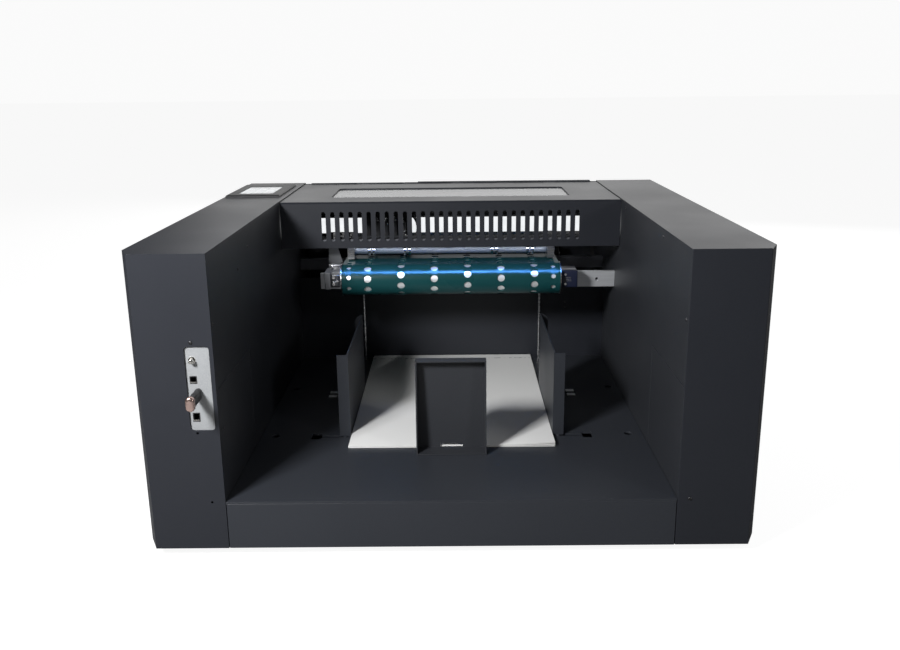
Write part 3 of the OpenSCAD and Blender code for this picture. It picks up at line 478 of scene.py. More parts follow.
def marked_paper():
    m, tree, shader = base_material("marked_paper")
    low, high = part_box("sheet_stack")
    place = node(tree, "ShaderNodeTexCoord")
    split = node(tree, "ShaderNodeSeparateXYZ")
    join(tree, place.outputs["Object"], split.inputs[0])
    fibre = node(tree, "ShaderNodeTexNoise")
    fibre.inputs["Scale"].default_value = 260
    fibre.inputs["Detail"].default_value = 6
    join(tree, place.outputs["Object"], fibre.inputs["Vector"])
    off_line = node(tree, "ShaderNodeMath", operation="SUBTRACT")
    join(tree, split.outputs["Y"], off_line.inputs[0])
    off_line.inputs[1].default_value = high[1] - 24 * MM
    far = node(tree, "ShaderNodeMath", operation="ABSOLUTE")
    join(tree, off_line.outputs[0], far.inputs[0])
    near = node(tree, "ShaderNodeMath", operation="LESS_THAN")
    join(tree, far.outputs[0], near.inputs[0])
    near.inputs[1].default_value = 1.6 * MM
    dashes = node(tree, "ShaderNodeTexNoise")
    dashes.inputs["Scale"].default_value = 1
    dashes.inputs["Detail"].default_value = 1
    stretch = node(tree, "ShaderNodeVectorMath", operation="MULTIPLY")
    join(tree, place.outputs["Object"], stretch.inputs[0])
    stretch.inputs[1].default_value = (190, 2, 2)
    join(tree, stretch.outputs[0], dashes.inputs["Vector"])
    cut = node(tree, "ShaderNodeMapRange")
    cut.inputs["From Min"].default_value = 0.42
    cut.inputs["From Max"].default_value = 0.60
    join(tree, dashes.outputs["Fac"], cut.inputs["Value"])
    ink = node(tree, "ShaderNodeMath", operation="MULTIPLY")
    join(tree, near.outputs[0], ink.inputs[0])
    join(tree, cut.outputs["Result"], ink.inputs[1])
    shade = node(tree, "ShaderNodeMapRange")
    shade.inputs["To Min"].default_value = 0.97
    shade.inputs["To Max"].default_value = 1.02
    join(tree, fibre.outputs["Fac"], shade.inputs["Value"])
    sheet_tone = node(tree, "ShaderNodeVectorMath", operation="SCALE")
    sheet_tone.inputs[0].default_value = (0.80, 0.80, 0.79)
    join(tree, shade.outputs["Result"], sheet_tone.inputs["Scale"])
    blend = node(tree, "ShaderNodeMix", data_type="RGBA")
    join(tree, ink.outputs[0], blend.inputs[0])
    join(tree, sheet_tone.outputs[0], blend.inputs[6])
    blend.inputs[7].default_value = (0.30, 0.32, 0.34, 1)
    join(tree, blend.outputs[2], shader.inputs["Base Color"])
    bump = node(tree, "ShaderNodeBump")
    bump.inputs["Strength"].default_value = 0.08
    bump.inputs["Distance"].default_value = 0.0001
    join(tree, fibre.outputs["Fac"], bump.inputs["Height"])
    join(tree, bump.outputs["Normal"], shader.inputs["Normal"])
    shader.inputs["Roughness"].default_value = 0.8
    return m


MATERIALS["paper"] = marked_paper()
MATERIALS["window_glass"] = tinted_window()
MATERIALS["screen"] = lit_screen()

# %% [markdown]
# ## Dress the CAD nodes
# Every node whose shape is already right keeps its CAD mesh and takes the finish of its slot. Sheet-metal
# edges are never knife sharp, so the folded panels get a small live bevel after their loose triangles
# are welded.

# %% Finish per node
SLOT_OF = {part["node"]: part["material_slot"] for part in frame["record"]["subparts"]}
# The towers, the hood and the bay's back wall take the darker copy of the powder coat: painted shade.
OWN_FINISH = {"left_casing": "painted_shade_coat", "right_casing": "painted_shade_coat", "hood": "painted_shade_coat",
              # The hold-down shaft takes a pale satin finish that is partly painted light.
              "bay_back_wall": "painted_shade_coat", "exit_shaft": "shaft_satin_painted_light",
              "exit_collars": "bright_steel", "front_roller": "bright_roller"}
SOFT_EDGES = {
    "left_casing": 0.9, "right_casing": 0.9, "front_panel": 0.6, "bed_plate": 0.7, "end_stop": 0.4,
    "left_guide": 0.35, "right_guide": 0.35, "rear_panel": 0.6, "conveyor_bar": 0.5,
    "gusset_plate": 0.3, "left_inner_cover": 0.4, "right_inner_cover": 0.4, "infeed_table": 0.4,
    "print_carriage": 1.0, "uv_lamp": 0.5, "gantry_beam": 1.0, "hood": 0.35, "service_panel": 0.25,
}


def dress(name):
    piece = NODES[name]
    finish = MATERIALS[OWN_FINISH.get(name, SLOT_OF[name])]
    piece.data.materials.clear()
    piece.data.materials.append(finish)
    if name in SOFT_EDGES:
        weld = piece.modifiers.new("weld", "WELD")
        weld.merge_threshold = 0.00001
        flat = piece.modifiers.new("flat_faces", "DECIMATE")
        flat.decimate_type = "DISSOLVE"
        flat.angle_limit = math.radians(0.5)
        bevel = piece.modifiers.new("soft_edge", "BEVEL")
        bevel.width = SOFT_EDGES[name] * MM
        bevel.segments = 2
        bevel.limit_method = "ANGLE"
        bevel.angle_limit = math.radians(40)
        bevel.harden_normals = True


for name in NODES:
    dress(name)
print("dressed", len(NODES), "nodes,", len(SOFT_EDGES), "with soft edges")

# %% [markdown]
# ## Shaping helpers
# Nearly every small part of a machine is a plate, a bar or a turned piece. Three helpers start those
# shapes from bmesh operators, one softens their edges, and one turns the finished shape into an object
# that rides on a body of the frame.


# %% Shaping helpers
def slab(bm, low, high):
    verts = bmesh.ops.create_cube(bm, size=1)["verts"]
    low, high = Vector(low), Vector(high)
    bmesh.ops.scale(bm, vec=high - low, verts=verts)
    bmesh.ops.translate(bm, vec=(low + high) / 2, verts=verts)
    return verts


def bar(bm, start, end, radius, sides=24, end_radius=None):
    start, end = Vector(start), Vector(end)
    along = end - start
    place = Matrix.Translation((start + end) / 2) @ along.to_track_quat("Z", "Y").to_matrix().to_4x4()
    tip = radius if end_radius is None else end_radius
    return bmesh.ops.create_cone(bm, cap_ends=True, segments=sides, radius1=radius, radius2=tip,
                                 depth=along.length, matrix=place)["verts"]


def turned(bm, profile, centre, axis, steps=32):
    axis = Vector(axis)
    side = axis.orthogonal().normalized()
    verts = [bm.verts.new(Vector(centre) + side * r + axis * a) for r, a in profile]
    edges = [bm.edges.new(pair) for pair in zip(verts, verts[1:])]
    made = bmesh.ops.spin(bm, geom=verts + edges, cent=centre, axis=axis, dvec=(0, 0, 0),
                          angle=2 * math.pi, steps=steps, use_merge=True)
    return made


def soften(bm, verts, width, segments=2):
    edges = list({edge for vert in verts for edge in vert.link_edges})
    bmesh.ops.bevel(bm, geom=edges, offset=width, affect="EDGES", segments=segments, profile=0.5,
                    material=-1, clamp_overlap=True)


def make_piece(bm, name, finish, body, smooth_angle=35, merge=True):
    if merge:
        bmesh.ops.remove_doubles(bm, verts=bm.verts, dist=0.000002)
        bmesh.ops.recalc_face_normals(bm, faces=bm.faces)
    mesh = bpy.data.meshes.new(name)
    bm.to_mesh(mesh)
    bm.free()
    mesh.materials.append(finish)
    mesh.shade_smooth()
    mesh.set_sharp_from_angle(angle=math.radians(smooth_angle))
    piece = bpy.data.objects.new(name, mesh)
    bpy.context.scene.collection.objects.link(piece)
    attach(piece, body)
    return piece


# %% [markdown]
# ## The perforated belt
# The vacuum belt is a green rubber band, two millimetres thick, punched with rows of round holes. Fans
# suck air through them and hold the sheet flat. Real holes matter, because the bright roller shows
# through them. A Boolean cut would need hundreds of cylinders, so each hole is made as a small tile: a
# circle bridged to the rim of its tile. The tiles are laid out flat, joined by plain strips, and the flat
# band is wrapped round the two rollers at the end.

# %% Belt measures
belt_low, belt_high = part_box("belt")
BELT_R = (belt_high[2] - belt_low[2]) / 2
FRONT_AXLE = belt_low[1] + BELT_R
DRIVE_AXLE = belt_high[1] - BELT_R
AXLE_Z = belt_low[2] + BELT_R
BELT_RUN = DRIVE_AXLE - FRONT_AXLE
BELT_LOOP = 2 * BELT_RUN + 2 * math.pi * BELT_R
BELT_ROWS = 31
ROW_PITCH = BELT_LOOP / BELT_ROWS
TILE_STEPS = 8
STEP = ROW_PITCH / TILE_STEPS
FIRST_ROW = 17.4 * MM
print("belt loop", round(BELT_LOOP, 4), "rows", BELT_ROWS, "pitch", round(ROW_PITCH, 5))


# %% One tile, and the rows of a column
def hole_tile(bm, x, along, radius, half):
    sides = 4 * TILE_STEPS
    hole = bmesh.ops.create_circle(bm, cap_ends=False, radius=radius, segments=sides)["verts"]
    rim = bmesh.ops.create_circle(bm, cap_ends=False, radius=half, segments=sides)["verts"]
    tall = ROW_PITCH / 2
    for verts in (hole, rim):
        verts.sort(key=lambda v: math.atan2(v.co.y, v.co.x) % (2 * math.pi))
    for k, vert in enumerate(rim):
        place = (k + TILE_STEPS // 2) % sides
        side, step = divmod(place, TILE_STEPS)
        part = -1 + 2 * step / TILE_STEPS
        spots = ((half, part * tall), (-part * half, tall), (-half, -part * tall), (part * half, -tall))
        vert.co.x, vert.co.y = spots[side]
    edges = [e for v in hole + rim for e in v.link_edges]
    bmesh.ops.bridge_loops(bm, edges=list(set(edges)))
    bmesh.ops.translate(bm, vec=(x, along, 0), verts=hole + rim)


def belt_column(bm, x, radius, half, shift):
    for row in range(BELT_ROWS):
        hole_tile(bm, x, FIRST_ROW + shift * STEP + row * ROW_PITCH, radius, half)


def plain_strip(bm, x0, x1, shift):
    start = FIRST_ROW + shift * STEP - ROW_PITCH / 2
    strip = bmesh.ops.create_grid(bm, x_segments=1, y_segments=BELT_ROWS * TILE_STEPS, size=0.5)["verts"]
    bmesh.ops.scale(bm, vec=(x1 - x0, BELT_LOOP, 1), verts=strip)
    bmesh.ops.translate(bm, vec=((x0 + x1) / 2, start + BELT_LOOP / 2, 0), verts=strip)


# %% [markdown]
# Wrapping is a change of coordinates. The distance along the band becomes an angle where the band lies
# on a roller, and a straight move where it runs between the rollers.


# %% Wrap and thicken
def on_loop(along):
    along = along % BELT_LOOP
    half_turn = math.pi * BELT_R
    if along < half_turn:
        a = along / BELT_R
        return FRONT_AXLE - BELT_R * math.sin(a), AXLE_Z + BELT_R * math.cos(a)
    along -= half_turn
    if along < BELT_RUN:
        return FRONT_AXLE + along, AXLE_Z - BELT_R
    along -= BELT_RUN
    if along < half_turn:
        a = along / BELT_R
        return DRIVE_AXLE + BELT_R * math.sin(a), AXLE_Z - BELT_R * math.cos(a)
    return DRIVE_AXLE - (along - half_turn), AXLE_Z + BELT_R


def make_belt():
    bm = bmesh.new()
    big, small = 7 * MM, 4.5 * MM
    wide, narrow = 8.5 * MM, 6 * MM
    columns = [(-190, small, narrow, -1), (-155, big, wide, 0), (-93, big, wide, -3), (-31, big, wide, 0),
               (31, big, wide, -3), (93, big, wide, 0), (155, big, wide, -3), (190, small, narrow, -1)]
    edge = belt_low[0]
    for x, radius, half, shift in columns:
        x = x * MM
        belt_column(bm, x, radius, half, shift)
        plain_strip(bm, edge, x - half, shift)
        edge = x + half
    plain_strip(bm, edge, belt_high[0], 0)
    for vert in bm.verts:
        vert.co.y, vert.co.z = on_loop(vert.co.y)
    bmesh.ops.remove_doubles(bm, verts=bm.verts, dist=0.00001)
    bmesh.ops.recalc_face_normals(bm, faces=bm.faces)
    front = min(bm.faces, key=lambda f: f.calc_center_median().y)
    if front.normal.y > 0:
        bmesh.ops.reverse_faces(bm, faces=bm.faces)
    bmesh.ops.solidify(bm, geom=bm.faces[:], thickness=2 * MM)
    return make_piece(bm, "perforated_belt", MATERIALS["belt_green"], "frame", 50, merge=False)


belt = make_belt()
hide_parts("belt")
print("belt faces:", len(belt.data.polygons), "box:", [round(v, 4) for v in belt.dimensions])

# %% [markdown]
# ## The delivered sheets
# The paper in the bay is a short stack of large sheets. A closed block would look like a board, so the
# stack is made of separate thin sheets. Each is turned and pushed a little, as sheets that fall into a
# tray are, and the top ones lift at the front corner. A grid gives each sheet enough points to bend, and
# a solidify gives it its thickness.


# %% Sheet stack
stack_low, stack_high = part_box("sheet_stack")
SHEET_T = 0.45 * MM


def lift_at(x, y, level):
    across = (x - stack_low[0]) / (stack_high[0] - stack_low[0])
    back = (y - stack_low[1]) / (stack_high[1] - stack_low[1])
    corner = max(0.0, (across - 0.62) / 0.38) ** 2 * max(0.0, 1 - back / 0.3) ** 1.5
    wave = 0.5 + 0.5 * math.sin(5.2 * across + 0.7 * level)
    left = max(0.0, 1 - across / 0.12) * max(0.0, 1 - back / 0.4)
    return level * (2.3 * corner + 0.25 * left) * MM * 0.36 + 0.35 * wave * corner * MM


def make_sheets():
    bm = bmesh.new()
    mid = (Vector(stack_low) + Vector(stack_high)) / 2
    tilts = (0.0, 0.0022, -0.0016, 0.0012, -0.0009, 0.0004)
    pushes = ((0, 0), (-0.9, 0.5), (0.8, -0.2), (-0.4, 0.9), (0.5, -0.4), (0.1, 0.2))
    for level, (tilt, push) in enumerate(zip(tilts, pushes)):
        sheet = bmesh.ops.create_grid(bm, x_segments=36, y_segments=44, size=0.5)["verts"]
        bmesh.ops.scale(bm, vec=(0.3285, 0.4810, 1), verts=sheet)
        bmesh.ops.rotate(bm, cent=(0, 0, 0), matrix=Matrix.Rotation(tilt, 3, "Z"), verts=sheet)
        rest = stack_low[2] + (0.3 + 0.62 * level) * MM
        bmesh.ops.translate(bm, vec=(mid.x + push[0] * MM, mid.y + push[1] * MM, rest), verts=sheet)
        for vert in sheet:
            vert.co.z += lift_at(vert.co.x, vert.co.y, level)
    bmesh.ops.recalc_face_normals(bm, faces=bm.faces)
    bmesh.ops.solidify(bm, geom=bm.faces[:], thickness=SHEET_T)
    return make_piece(bm, "delivered_sheets", MATERIALS["paper"], "frame", 40, merge=False)


sheets = make_sheets()
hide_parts("sheet_stack")
print("sheets:", [round(v, 4) for v in sheets.dimensions])

# %% [markdown]
# ## Controls on the left tower
# The service panel holds a nickel push button, two sockets and a quarter-turn knob. The knob is a dark
# oval stem with a rose-coloured metal cap. Its cap is crowned: an oval outline is extruded, and the last
# ring is drawn in and pushed out a little.


# %% Knob
def oval(bm, centre, width, height, sides=40):
    half = width / 2
    ring = bmesh.ops.create_circle(bm, cap_ends=True, radius=half, segments=sides)["verts"]
    for vert in ring:
        vert.co.y += (height / 2 - half) * (1 if vert.co.y >= 0 else -1)
    turn = Matrix.Rotation(math.radians(90), 3, "X")
    bmesh.ops.rotate(bm, cent=(0, 0, 0), matrix=turn, verts=ring)
    bmesh.ops.translate(bm, vec=centre, verts=ring)
    return ring


def grow_oval(bm, centre, steps):
    ring = oval(bm, centre, steps[0][1], steps[0][2])
    face = next(f for f in ring[0].link_faces)
    last = steps[0]
    for out, width, height in steps[1:]:
        made = bmesh.ops.extrude_face_region(bm, geom=[face])["geom"]
        verts = [g for g in made if isinstance(g, bmesh.types.BMVert)]
        bmesh.ops.translate(bm, vec=(0, -(out - last[0]), 0), verts=verts)
        middle = Vector((centre[0], 0, centre[2]))
        bmesh.ops.translate(bm, vec=-middle, verts=verts)
        bmesh.ops.scale(bm, vec=(width / last[1], 1, height / last[2]), verts=verts)
        bmesh.ops.translate(bm, vec=middle, verts=verts)
        bmesh.ops.delete(bm, geom=[face], context="FACES_ONLY")
        face = next(g for g in made if isinstance(g, bmesh.types.BMFace))
        last = (out, width, height)


def make_knob():
    low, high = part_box("service_knob")
    x, z = (low[0] + high[0]) / 2, (low[2] + high[2]) / 2
    front = low[1]
    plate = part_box("service_panel")[0][1]
    bm = bmesh.new()
    reach = plate - front - 8.3 * MM
    stem = [(0, 7.6 * MM, 16.1 * MM), (1.2 * MM, 8.5 * MM, 17 * MM), (reach, 8.5 * MM, 17 * MM)]
    grow_oval(bm, (x, plate - 0.3 * MM, z), stem)
    bar(bm, (x, plate - 0.5 * MM, z), (x, high[1], z), 2.9 * MM)
    stem_piece = make_piece(bm, "knob_stem", MATERIALS["black_plastic"], "service_knob")
    bm = bmesh.new()
    cap = [(0, 10.4, 18.6), (0.5, 11.6, 19.9), (1.4, 12.0, 20.4), (5.2, 12.0, 20.4), (6.7, 11.3, 19.5),
           (7.6, 9.4, 17.3), (8.0, 5.8, 13.0), (8.0, 5.0, 12.0)]
    grow_oval(bm, (x, front + 8 * MM, z), [(a * MM, w * MM, h * MM) for a, w, h in cap])
    cap_piece = make_piece(bm, "knob_cap", MATERIALS["rose_metal"], "service_knob", 50)
    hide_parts("service_knob")
    return stem_piece, cap_piece


knob = make_knob()
print("knob reaches", round(min((knob[1].matrix_world @ v.co).y for v in knob[1].data.vertices), 4))


# %% [markdown]
# The push button is a turned plunger with a domed tip, and the plate carries a small collar round it. The
# two sockets have a bright formed lip along their lower edge.


# %% Button and socket lips
def make_button():
    low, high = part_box("push_button")
    x, z = (low[0] + high[0]) / 2, (low[2] + high[2]) / 2
    r = 3.5 * MM
    bm = bmesh.new()
    profile = [(0, 0), (1.6, 0.05), (2.7, 0.45), (3.3, 1.2), (3.5, 2.0), (3.5, 9), (3.2, 9.4)]
    turned(bm, [(a * MM, b * MM) for a, b in profile], (x, low[1], z), (0, 1, 0), 40)
    bar(bm, (x, low[1] + 9.3 * MM, z), (x, high[1], z), 3.2 * MM)
    tip = make_piece(bm, "button_plunger", MATERIALS["nickel"], "push_button", 40)
    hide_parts("push_button")
    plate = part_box("service_panel")[0][1]
    bm = bmesh.new()
    collar = [(3.75, 0.02), (3.75, -1.1), (4.1, -1.35), (4.8, -1.2), (5.2, -0.6), (5.3, 0.02)]
    turned(bm, [(a * MM, b * MM) for a, b in collar], (x, plate, z), (0, 1, 0), 40)
    return tip, make_piece(bm, "button_collar", MATERIALS["nickel"], "frame", 40)


def make_lips():
    low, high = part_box("socket_liners")
    panel_low, panel_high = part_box("service_panel")
    x = (low[0] + high[0]) / 2
    spots = ((panel_high[2] - 47.4 * MM, 11 * MM), (panel_high[2] - 100.7 * MM, 13 * MM))
    bm = bmesh.new()
    for z, tall in spots:
        foot = z - tall / 2
        verts = slab(bm, (x - 4.6 * MM, panel_low[1] - 0.5 * MM, foot - 0.7 * MM),
                     (x + 4.6 * MM, panel_low[1] + 0.8 * MM, foot + 0.9 * MM))
        soften(bm, verts, 0.5 * MM)
    return make_piece(bm, "socket_lips", MATERIALS["nickel"], "frame")


button = make_button()
lips = make_lips()
print("button and lips made")

# %% [markdown]
# ## The touch display
# The display shows a generic menu: six plain tiles in two rows. The tiles are thin rounded plates that
# lie on the screen, a few tenths of a millimetre high, so that they stay below the edge of the bezel.


# %% Menu tiles
def make_tiles():
    low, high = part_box("display_screen")
    top = high[2]
    wide, deep = high[0] - low[0], high[1] - low[1]
    bm = bmesh.new()
    for column in range(3):
        for row in range(3):
            x0 = low[0] + (0.07 + 0.30 * column) * wide
            y0 = low[1] + (0.07 + 0.30 * row) * deep
            size_x = 0.26 * wide
            size_y = 0.25 * deep
            verts = slab(bm, (x0, y0, top + 0.02 * MM), (x0 + size_x, y0 + size_y, top + 0.25 * MM))
            upright = [e for v in verts for e in v.link_edges
                       if abs(e.verts[0].co.z - e.verts[1].co.z) > 1e-5]
            bmesh.ops.bevel(bm, geom=list(set(upright)), offset=2.5 * MM, affect="EDGES", segments=4,
                            profile=0.5, material=-1)
    return make_piece(bm, "menu_tiles", MATERIALS["tile"], "frame")


tiles = make_tiles()
print("tiles made")

# %% [markdown]
# ## Belt hardware
# Both ends of the front roller sit in bearing blocks. The left one is a plain grey end plate with a
# split clamp whose screws are bright; the right one is a dark blue block. A folded gusset with a round
# top stands on the left end of the crossbar. These are seen straight from the front, so they get their
# clamp slits, screw heads and folds as real shapes.


# %% Screw head
def cap_screw(bm, centre, axis, radius, tall):
    head = [(radius * 0.5, tall * 0.45), (radius * 0.5, tall), (radius * 0.86, tall), (radius, tall * 0.82),
            (radius, 0), (0, 0)]
    turned(bm, head, centre, axis, 20)
    recess = Vector(centre) + Vector(axis) * tall * 0.45
    bmesh.ops.create_circle(bm, cap_ends=True, radius=radius * 0.5, segments=6, matrix=Matrix.Translation(
        recess) @ Vector(axis).to_track_quat("Z", "Y").to_matrix().to_4x4())


# %% Left bearing block
def make_left_block():
    low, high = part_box("bearing_left")
    bm = bmesh.new()
    soften(bm, slab(bm, low, (low[0] + 11 * MM, high[1], high[2])), 1.2 * MM, 3)
    soften(bm, slab(bm, (low[0] + 10 * MM, low[1] + 9 * MM, low[2] + 2 * MM),
                    (high[0] - 1 * MM, high[1], high[2] - 2 * MM)), 0.8 * MM)
    body = make_piece(bm, "left_bearing_body", MATERIALS["grey_block"], "frame")
    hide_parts("bearing_left")
    bm = bmesh.new()
    mid = AXLE_Z
    x0, x1 = low[0] + 13 * MM, high[0] - 4 * MM
    face = low[1] + 3 * MM
    for z0, z1 in ((mid + 0.8 * MM, mid + 11 * MM), (mid - 11 * MM, mid - 0.8 * MM)):
        soften(bm, slab(bm, (x0, face, z0), (x1, low[1] + 12 * MM, z1)), 1.5 * MM, 3)
    clamp = make_piece(bm, "left_clamp", MATERIALS["dark_steel"], "frame")
    bm = bmesh.new()
    for z in (mid + 6 * MM, mid - 6 * MM):
        cap_screw(bm, ((x0 + x1) / 2 - 2.6 * MM, face, z), (0, -1, 0), 2.9 * MM, 2.4 * MM)
    cap_screw(bm, ((x0 + x1) / 2 + 4.0 * MM, face, mid), (0, -1, 0), 2.4 * MM, 2.6 * MM)
    hub = [(5.3, 0), (8.5, 0), (8.5, 2.0), (5.3, 2.0), (5.3, 0)]
    turned(bm, [(a * MM, b * MM) for a, b in hub], (high[0] - 2.2 * MM, FRONT_AXLE, mid), (1, 0, 0), 40)
    shiny = make_piece(bm, "left_clamp_screws", MATERIALS["bright_steel"], "frame")
    return body, clamp, shiny


# %% [markdown]
# The right block is narrower in the view. Its front face has two bright cap screws and a stack of thin
# adjusting shims, which show as short bright lines.


# %% Right bearing block and gusset
def make_right_block():
    low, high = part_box("bearing_right")
    bm = bmesh.new()
    soften(bm, slab(bm, low, high), 2.2 * MM, 3)
    body = make_piece(bm, "right_bearing_body", MATERIALS["blue_block"], "frame")
    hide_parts("bearing_right")
    bm = bmesh.new()
    for dx, dz in ((8, 9), (8, -9)):
        cap_screw(bm, (low[0] + dx * MM, low[1], AXLE_Z + dz * MM), (0, -1, 0), 2.3 * MM, 2 * MM)
    for level in (-3.4, 0, 3.4):
        soften(bm, slab(bm, (low[0] + 9 * MM, low[1] - 0.8 * MM, AXLE_Z + (level - 0.6) * MM),
                        (low[0] + 19 * MM, low[1] + 1 * MM, AXLE_Z + (level + 0.6) * MM)), 0.3 * MM)
    return body, make_piece(bm, "right_block_screws", MATERIALS["bright_steel"], "frame")


def make_gusset():
    low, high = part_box("gusset_plate")
    thick = high[1] - low[1]
    bend = low[2] + 18.5 * MM
    bm = bmesh.new()
    spots = ((low[0] + 8.5 * MM, high[2] - 6 * MM, 5.8 * MM), (low[0] + 2.6 * MM, bend + 2 * MM, 2.4 * MM),
             (high[0] - 2.6 * MM, bend + 2 * MM, 2.4 * MM))
    for x, z, r in spots:
        bar(bm, (x, low[1], z), (x, low[1] + thick, z), r, 28)
    bmesh.ops.convex_hull(bm, input=bm.verts[:])
    soften(bm, slab(bm, (low[0], low[1], low[2]), (high[0], high[1], bend)), 0.3 * MM)
    plate = make_piece(bm, "gusset_arm", MATERIALS["dark_steel"], "frame", 30)
    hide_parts("gusset_plate")
    bm = bmesh.new()
    soften(bm, slab(bm, (low[0] + 0.5 * MM, low[1] - 7 * MM, bend - 3.4 * MM),
                    (high[0] - 0.5 * MM, low[1] + 0.2 * MM, bend - 1.6 * MM)), 0.5 * MM)
    soften(bm, slab(bm, (low[0] + 0.5 * MM, low[1] - 7 * MM, bend - 9.5 * MM),
                    (high[0] - 0.5 * MM, low[1] - 5.4 * MM, bend - 1.6 * MM)), 0.5 * MM)
    for x in (low[0] + 6.5 * MM, high[0] - 6.5 * MM):
        cap_screw(bm, (x, low[1] - 7 * MM, bend - 5.6 * MM), (0, -1, 0), 1.9 * MM, 1.2 * MM)
    fold = make_piece(bm, "gusset_fold", MATERIALS["bright_steel"], "frame", 30)
    return plate, fold


blocks = make_left_block() + make_right_block() + make_gusset()
print("belt hardware:", [piece.name for piece in blocks])

# %% [markdown]
# ## Screws
# The panel screws are button heads with a hexagon recess. Each CAD screw is a plain disc, so its place
# and its direction are read from the disc: a copy of the mesh is merged, split into islands, and the
# thin side of each island is the axis of its screw.


# %% Find the islands of a node
def islands(name):
    bm = bmesh.new()
    bm.from_mesh(NODES[name].data)
    bmesh.ops.remove_doubles(bm, verts=bm.verts, dist=0.00001)
    left = set(bm.verts)
    found = []
    while left:
        queue = [left.pop()]
        group = []
        while queue:
            vert = queue.pop()
            group.append(vert.co.copy())
            for edge in vert.link_edges:
                other = edge.other_vert(vert)
                if other in left:
                    left.remove(other)
                    queue.append(other)
        low = Vector([min(p[i] for p in group) for i in range(3)])
        high = Vector([max(p[i] for p in group) for i in range(3)])
        found.append((low, high))
    bm.free()
    return found


def make_screws():
    bm = bmesh.new()
    heads = islands("screws")
    for low, high in heads:
        size = high - low
        thin = min(range(3), key=lambda i: size[i])
        middle = (low + high) / 2
        radius = max(size) / 2
        axis = Vector((0, 0, 0))
        inward = -1 if thin == 0 and middle.x > 0 else 1
        axis[thin] = inward if thin == 0 else -1 if thin == 1 else 1
        seat = middle.copy()
        seat[thin] = low[thin] if axis[thin] > 0 else high[thin]
        tall = size[thin]
        dome = [(radius * 0.45, tall * 0.35), (radius * 0.45, tall * 0.97), (radius * 0.7, tall * 0.93),
                (radius * 0.9, tall * 0.66), (radius, tall * 0.2), (radius, 0), (0, 0)]
        turned(bm, dome, seat, axis, 24)
        floor = seat + axis * tall * 0.35
        recess = Matrix.Translation(floor) @ axis.to_track_quat("Z", "Y").to_matrix().to_4x4()
        bmesh.ops.create_circle(bm, cap_ends=True, radius=radius * 0.46, segments=6, matrix=recess)
    piece = make_piece(bm, "button_head_screws", MATERIALS["black_steel"], "frame")
    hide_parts("screws")
    return piece, len(heads)


screws, screw_count = make_screws()
print("screws:", screw_count)

# %% [markdown]
# ## Bed fittings
# Two zinc lugs lie on the bed on each side of the rear guide slots. They are folded strips, bright
# against the dark bed.


# %% Zinc lugs
def make_lugs():
    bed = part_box("bed_plate")[1][2]
    x0 = stack_high[0] + 47.5 * MM
    bm = bmesh.new()
    for side in (-1, 1):
        for y0, y1 in ((421, 432), (442, 453)):
            a = (side * x0, FRONT + y0 * MM, bed)
            b = (side * (x0 + 15 * MM), FRONT + y1 * MM, bed + 1.6 * MM)
            low = [min(p, q) for p, q in zip(a, b)]
            high = [max(p, q) for p, q in zip(a, b)]
            soften(bm, slab(bm, low, high), 0.6 * MM)
    return make_piece(bm, "zinc_lugs", MATERIALS["zinc"], "frame")


lugs = make_lugs()

# %% [markdown]
# ## Rear of the machine
# The cooling fan has a wire guard: rings and two crossed wires. Rings are spun from a small circle, which
# is what a wire bent to a ring is.


# %% Fan guard
def wire_ring(bm, centre, axis, radius, wire):
    side = Vector(axis).orthogonal().normalized()
    start = Vector(centre) + side * radius
    turn = Vector(axis).cross(side).to_track_quat("Z", "Y").to_matrix().to_4x4()
    ring = bmesh.ops.create_circle(bm, cap_ends=False, radius=wire, segments=8,
                                   matrix=Matrix.Translation(start) @ turn)["verts"]
    edges = list({e for v in ring for e in v.link_edges})
    bmesh.ops.spin(bm, geom=ring + edges, cent=centre, axis=axis, dvec=(0, 0, 0), angle=2 * math.pi,
                   steps=48, use_merge=True)


def make_fan_guard():
    low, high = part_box("fan_frame")
    x, z = (low[0] + high[0]) / 2, (low[2] + high[2]) / 2
    y = BACK + 1.2 * MM
    wire = 1.1 * MM
    bm = bmesh.new()
    for radius in (14, 24, 34, 44, 54):
        wire_ring(bm, (x, y, z), (0, 1, 0), radius * MM, wire)
    reach = 62 * MM / math.sqrt(2) * 1.18
    for sx, sz in ((1, 1), (1, -1)):
        a = (x - sx * reach, y + wire, z - sz * reach)
        b = (x + sx * reach, y + wire, z + sz * reach)
        bar(bm, a, b, wire, 10)
    for sx in (-1, 1):
        for sz in (-1, 1):
            cap_screw(bm, (x + sx * reach, BACK + 0.2 * MM, z + sz * reach), (0, 1, 0), 4.2 * MM, 3.2 * MM)
    return make_piece(bm, "fan_guard", MATERIALS["bright_steel"], "frame")


guard = make_fan_guard()
print("fan guard made")

# %% [markdown]
# The rear panel is a service cover. It is held by button-head screws all round, and rows of pressed
# louvres let warm air out above the electronics. A louvre is a half-round bulge, so it is a thin cylinder
# cut in half by the panel.


# %% Louvres and rear screws
def make_louvres():
    bm = bmesh.new()
    for column in (90, 190):
        for row in range(9):
            z = TOP - (215 + 14 * row) * MM
            verts = bar(bm, ((column - 38) * MM, BACK, z), ((column + 38) * MM, BACK, z), 3.2 * MM, 20)
            ends = [v for v in verts]
            soften(bm, ends, 0.9 * MM, 2)
    louvres = make_piece(bm, "pressed_louvres", MATERIALS["powder_coat"], "frame", 30)
    bm = bmesh.new()
    for x in (-300, -150, 0, 150, 300):
        for z in (foot_top + 14 * MM, TOP - 165 * MM):
            cap_screw(bm, (x * MM, BACK, z), (0, 1, 0), 3.1 * MM, 1.8 * MM)
    return louvres, make_piece(bm, "rear_panel_screws", MATERIALS["black_steel"], "frame")


foot_top = casing_low[2]
rear_details = make_louvres()
